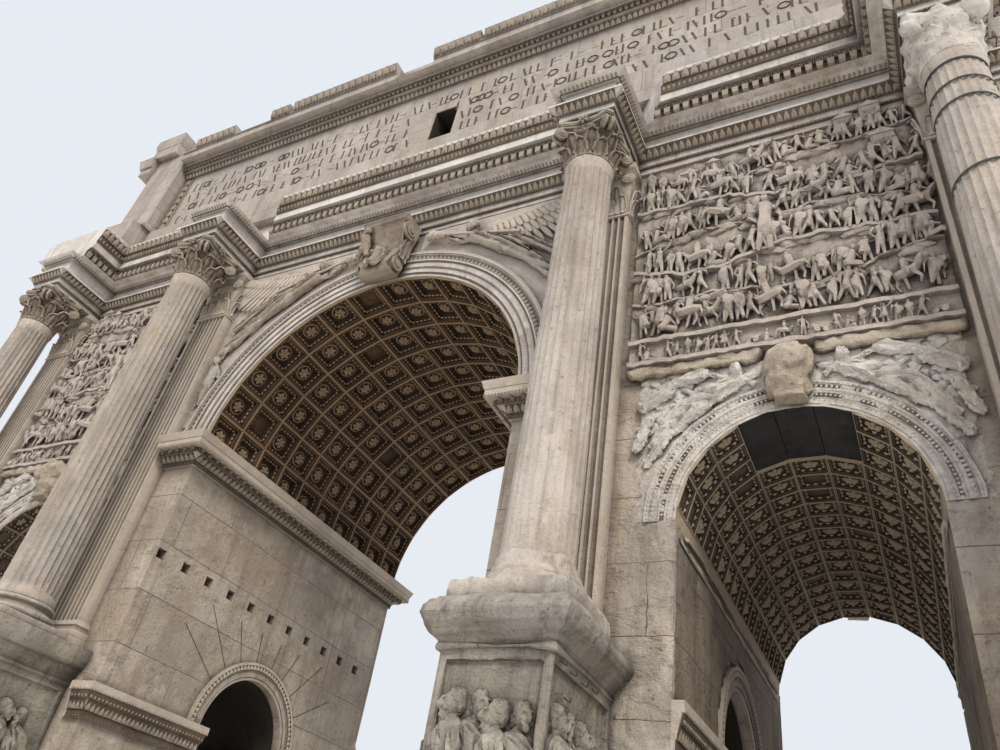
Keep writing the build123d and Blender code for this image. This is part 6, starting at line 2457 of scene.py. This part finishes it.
@dataclass
class Pedestals:
    """The pedestals under the columns, with standing figures in low relief on their dies."""

    half: float = 0.64
    front: float = -5.26
    foot_height: float = 0.90
    cap_height: float = 0.55
    front_people: tuple[float, ...] = (-0.35, -0.10, 0.13, 0.37)
    side_people: tuple[float, ...] = (-4.97, -4.68, -4.36, -4.05)
    people_size: Point = (0.92, 0.75, 1.17)
    cramp_places: tuple[Flat, ...] = (
        (-5.12, 3.80), (-4.86, 3.78), (-4.55, 3.77), (-4.24, 3.80), (-4.95, 3.50),
    )

    def profile(self, rubbed: bool) -> list[Flat]:
        """Reach and height of the mouldings; the cap of the rubbed pedestal is a worn bulge."""
        cap = PEDESTAL_TOP - self.cap_height
        foot = self.foot_height
        points = [(0.34, 0.0), (0.34, 0.42), (0.31, 0.44), (0.32, 0.52), (0.29, 0.60), (0.20, 0.66)]
        points += [(0.13, 0.76), (0.08, 0.80), (0.08, 0.86), (0.03, 0.88), (0.0, foot), (0.0, cap - 0.02)]
        points += [(0.035, cap), (0.035, cap + 0.05), (0.02, cap + 0.06)]
        rise = [(0.10, 0.16), (0.12, 0.24), (0.19, 0.26), (0.215, 0.34), (0.25, 0.42)]
        if rubbed:
            rise = [(0.05, 0.10), (0.12, 0.17), (0.19, 0.24), (0.235, 0.32), (0.22, 0.41)]
            rise += [(0.16, 0.49), (0.09, 0.53)]
        points += [(reach, cap + up) for reach, up in rise]
        return [*points, (0.03 if rubbed else 0.25, PEDESTAL_TOP)]

    def body(self, rubbed: bool) -> Piece:
        """Foot, die and cap about x = 0."""
        low = self.foot_height
        high = PEDESTAL_TOP - self.cap_height - 0.1
        piece = rising(-self.half, self.half, self.front, -WALL_Y, self.profile(rubbed))
        with editing(piece):
            pick_faces(
                piece,
                lambda centre, normal: low < centre.z < high
                and (normal.y < -0.9 or abs(normal.x) > 0.9),
            )
            for thickness, depth in ((0.09, 0.0), (0.015, -0.045)):
                bpy.ops.mesh.inset(thickness=thickness, depth=depth, use_individual=True)
        return softened(piece, 0.012)

    @staticmethod
    def grounded(piece: Piece) -> Piece:
        """The piece with its underside flat on the ground."""
        with editing(piece, "VERT"):
            pick_points(piece, lambda co: co.z < 0.03)
            bpy.ops.transform.resize(value=(1.0, 1.0, 0.0), center_override=ORIGIN)
        return piece

    def person(self, variant: int) -> Piece:
        """A calm standing figure in a long folded dress, its feet at the origin."""
        lumps = [
            limb((0.0, 0.0, 0.0), (0.0, 0.0, 0.95), 0.27, 0.20, 12),
            limb((0.0, 0.0, 0.90), (0.0, 0.0, 1.42), 0.18, 0.23, 12),
            ball((0.0, 0.0, 1.42), (0.30, 0.19, 0.14), 12, 8),
            limb((-0.26, 0.0, 1.42), (-0.33, -0.04, 1.10), 0.09, 0.07),
            limb((-0.33, -0.04, 1.10), (-0.05, -0.18, 1.02), 0.07, 0.05),
            limb((0.26, 0.0, 1.42), (0.33, -0.04, 1.12), 0.09, 0.07),
            limb((0.33, -0.04, 1.12), (0.12, -0.18, 1.24 - 0.2 * variant), 0.07, 0.05),
            limb((-0.24, -0.12, 1.46), (0.22, -0.20, 0.98), 0.06, 0.07, 6),
            limb((0.20, -0.12, 1.50), (0.10, -0.20, 0.70), 0.05, 0.05, 6),
            limb((0.0, 0.0, 1.42), (0.0, -0.02, 1.60), 0.085, 0.075),
        ]
        dress = folded(moulded_clay(lumps, 0.028, 0.8), 0.04, 0.10, 0.25 + 0.3 * variant)
        dress = modified(worn(dress, 0.04, 0.12), "DECIMATE", ratio=0.22)
        face = [
            ball((0.0, -0.03, 1.66), (0.088, 0.125, 0.125), 16, 12),
            ball((0.0, -0.165, 1.65), (0.026, 0.065, 0.045), 8, 6),
            ball((0.0, -0.145, 1.705), (0.072, 0.045, 0.020), 8, 5),
            ball((-0.045, -0.125, 1.62), (0.030, 0.03, 0.030), 8, 5),
            ball((0.045, -0.125, 1.62), (0.030, 0.03, 0.030), 8, 5),
            ball((0.0, -0.135, 1.57), (0.045, 0.05, 0.035), 8, 5),
        ]
        head = moulded_clay(face, 0.013, 0.25)
        hair = [ball((0.0, 0.015, 1.725), (0.102, 0.13, 0.085), 16, 12)]
        hair.append(ball((0.0, 0.05, 1.66), (0.102, 0.085, 0.11), 12, 9))
        if variant:
            hair.append(ball((0.0, -0.10, 1.545), (0.07, 0.065, 0.075), 12, 9))
        locks = worn(moulded_clay(hair, 0.016, 0.5), 0.05, 0.022)
        return placed(joined([dress, head, locks]), turned((0.85, -0.9)[variant], "Z"))

    def figures(self, seed: int) -> list[Piece]:
        """The standing figures of one pedestal, on its front and both sides."""
        draw = random.Random(seed)
        people = [self.person(0), self.person(1)]
        made = []
        z = self.foot_height + 0.42
        size = Matrix.Diagonal((*self.people_size, 1.0))
        for k, x in enumerate(self.front_people):
            deep = 0.035 if k % 2 else 0.0
            spot = moved(x, self.front + 0.02 + deep, z + draw.uniform(-0.05, 0.06))
            made.append(copy_at(people[(k + 1) % 2], spot @ size))
        for side in (-1.0, 1.0):
            for k, y in enumerate(self.side_people):
                spot = moved(side * (self.half - 0.03), y, z + draw.uniform(-0.06, 0.05))
                made.append(copy_at(people[k % 2], spot @ turned(side * QUARTER, "Z") @ size))
        drop(*people)
        return made

    def cramps(self) -> list[Piece]:
        """The iron cramps under the cap of the rubbed pedestal."""
        x = INNER_COLUMN + self.half + 0.03
        made = []
        for y, z in self.cramp_places:
            bend = (x + 0.03, y + 0.09, z - 0.02)
            made.append(limb((x, y, z), bend, 0.008, 0.007, 6))
            made.append(limb(bend, (x + 0.035, y + 0.095, z + 0.025), 0.007, 0.006, 6))
        return made

    def build(self, shop: Workshop) -> None:
        """Build a sound pedestal and a worn one, and stand them under the columns."""
        people = joined(self.figures(2))
        plain_people = modified(copy_at(people, Matrix()), "DECIMATE", ratio=0.18)
        sound = self.grounded(joined([worn(self.body(False), 0.02, 0.4), plain_people]))
        body = self.body(True)
        with editing(body, "EDGE"):
            bpy.ops.mesh.subdivide(number_cuts=3)
        rubbed = self.grounded(joined([worn(worn(body, 0.12, 0.40), 0.045, 0.10), people]))
        front = []
        for x in COLUMN_XS:
            pattern = rubbed if x == INNER_COLUMN else sound
            front.append(copy_at(pattern, moved(x, 0.0, 0.0)))
        back = [placed(flipped(sound, 1), moved(x, 0.0, 0.0)) for x in COLUMN_XS]
        drop(sound, rubbed)
        shop.show([*front, *back], "carved_pedestals", Slot.PEDESTAL, ["pedestals"])
        shop.show(self.cramps(), "iron_cramps", Slot.PEDESTAL, finish=IRON)


ASSEMBLIES = (
    Vaults, Archivolts, Columns, Entablature, Attic, Imposts, Passages, Pilasters, Keystones, Reliefs,
    Spandrels, Pedestals,
)



def main() -> None:
    """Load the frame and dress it."""
    logging.basicConfig(level=logging.INFO, format="%(message)s")
    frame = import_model()
    bpy.ops.object.select_all(action="DESELECT")
    bpy.context.scene.view_settings.view_transform = "Standard"
    studio = Studio()
    studio.camera()
    studio.light()
    studio.floor()
    shop = Workshop(frame)
    shop.dress_nodes()
    for assembly in ASSEMBLIES:
        assembly().build(shop)


if __name__ == "__main__":
    main()
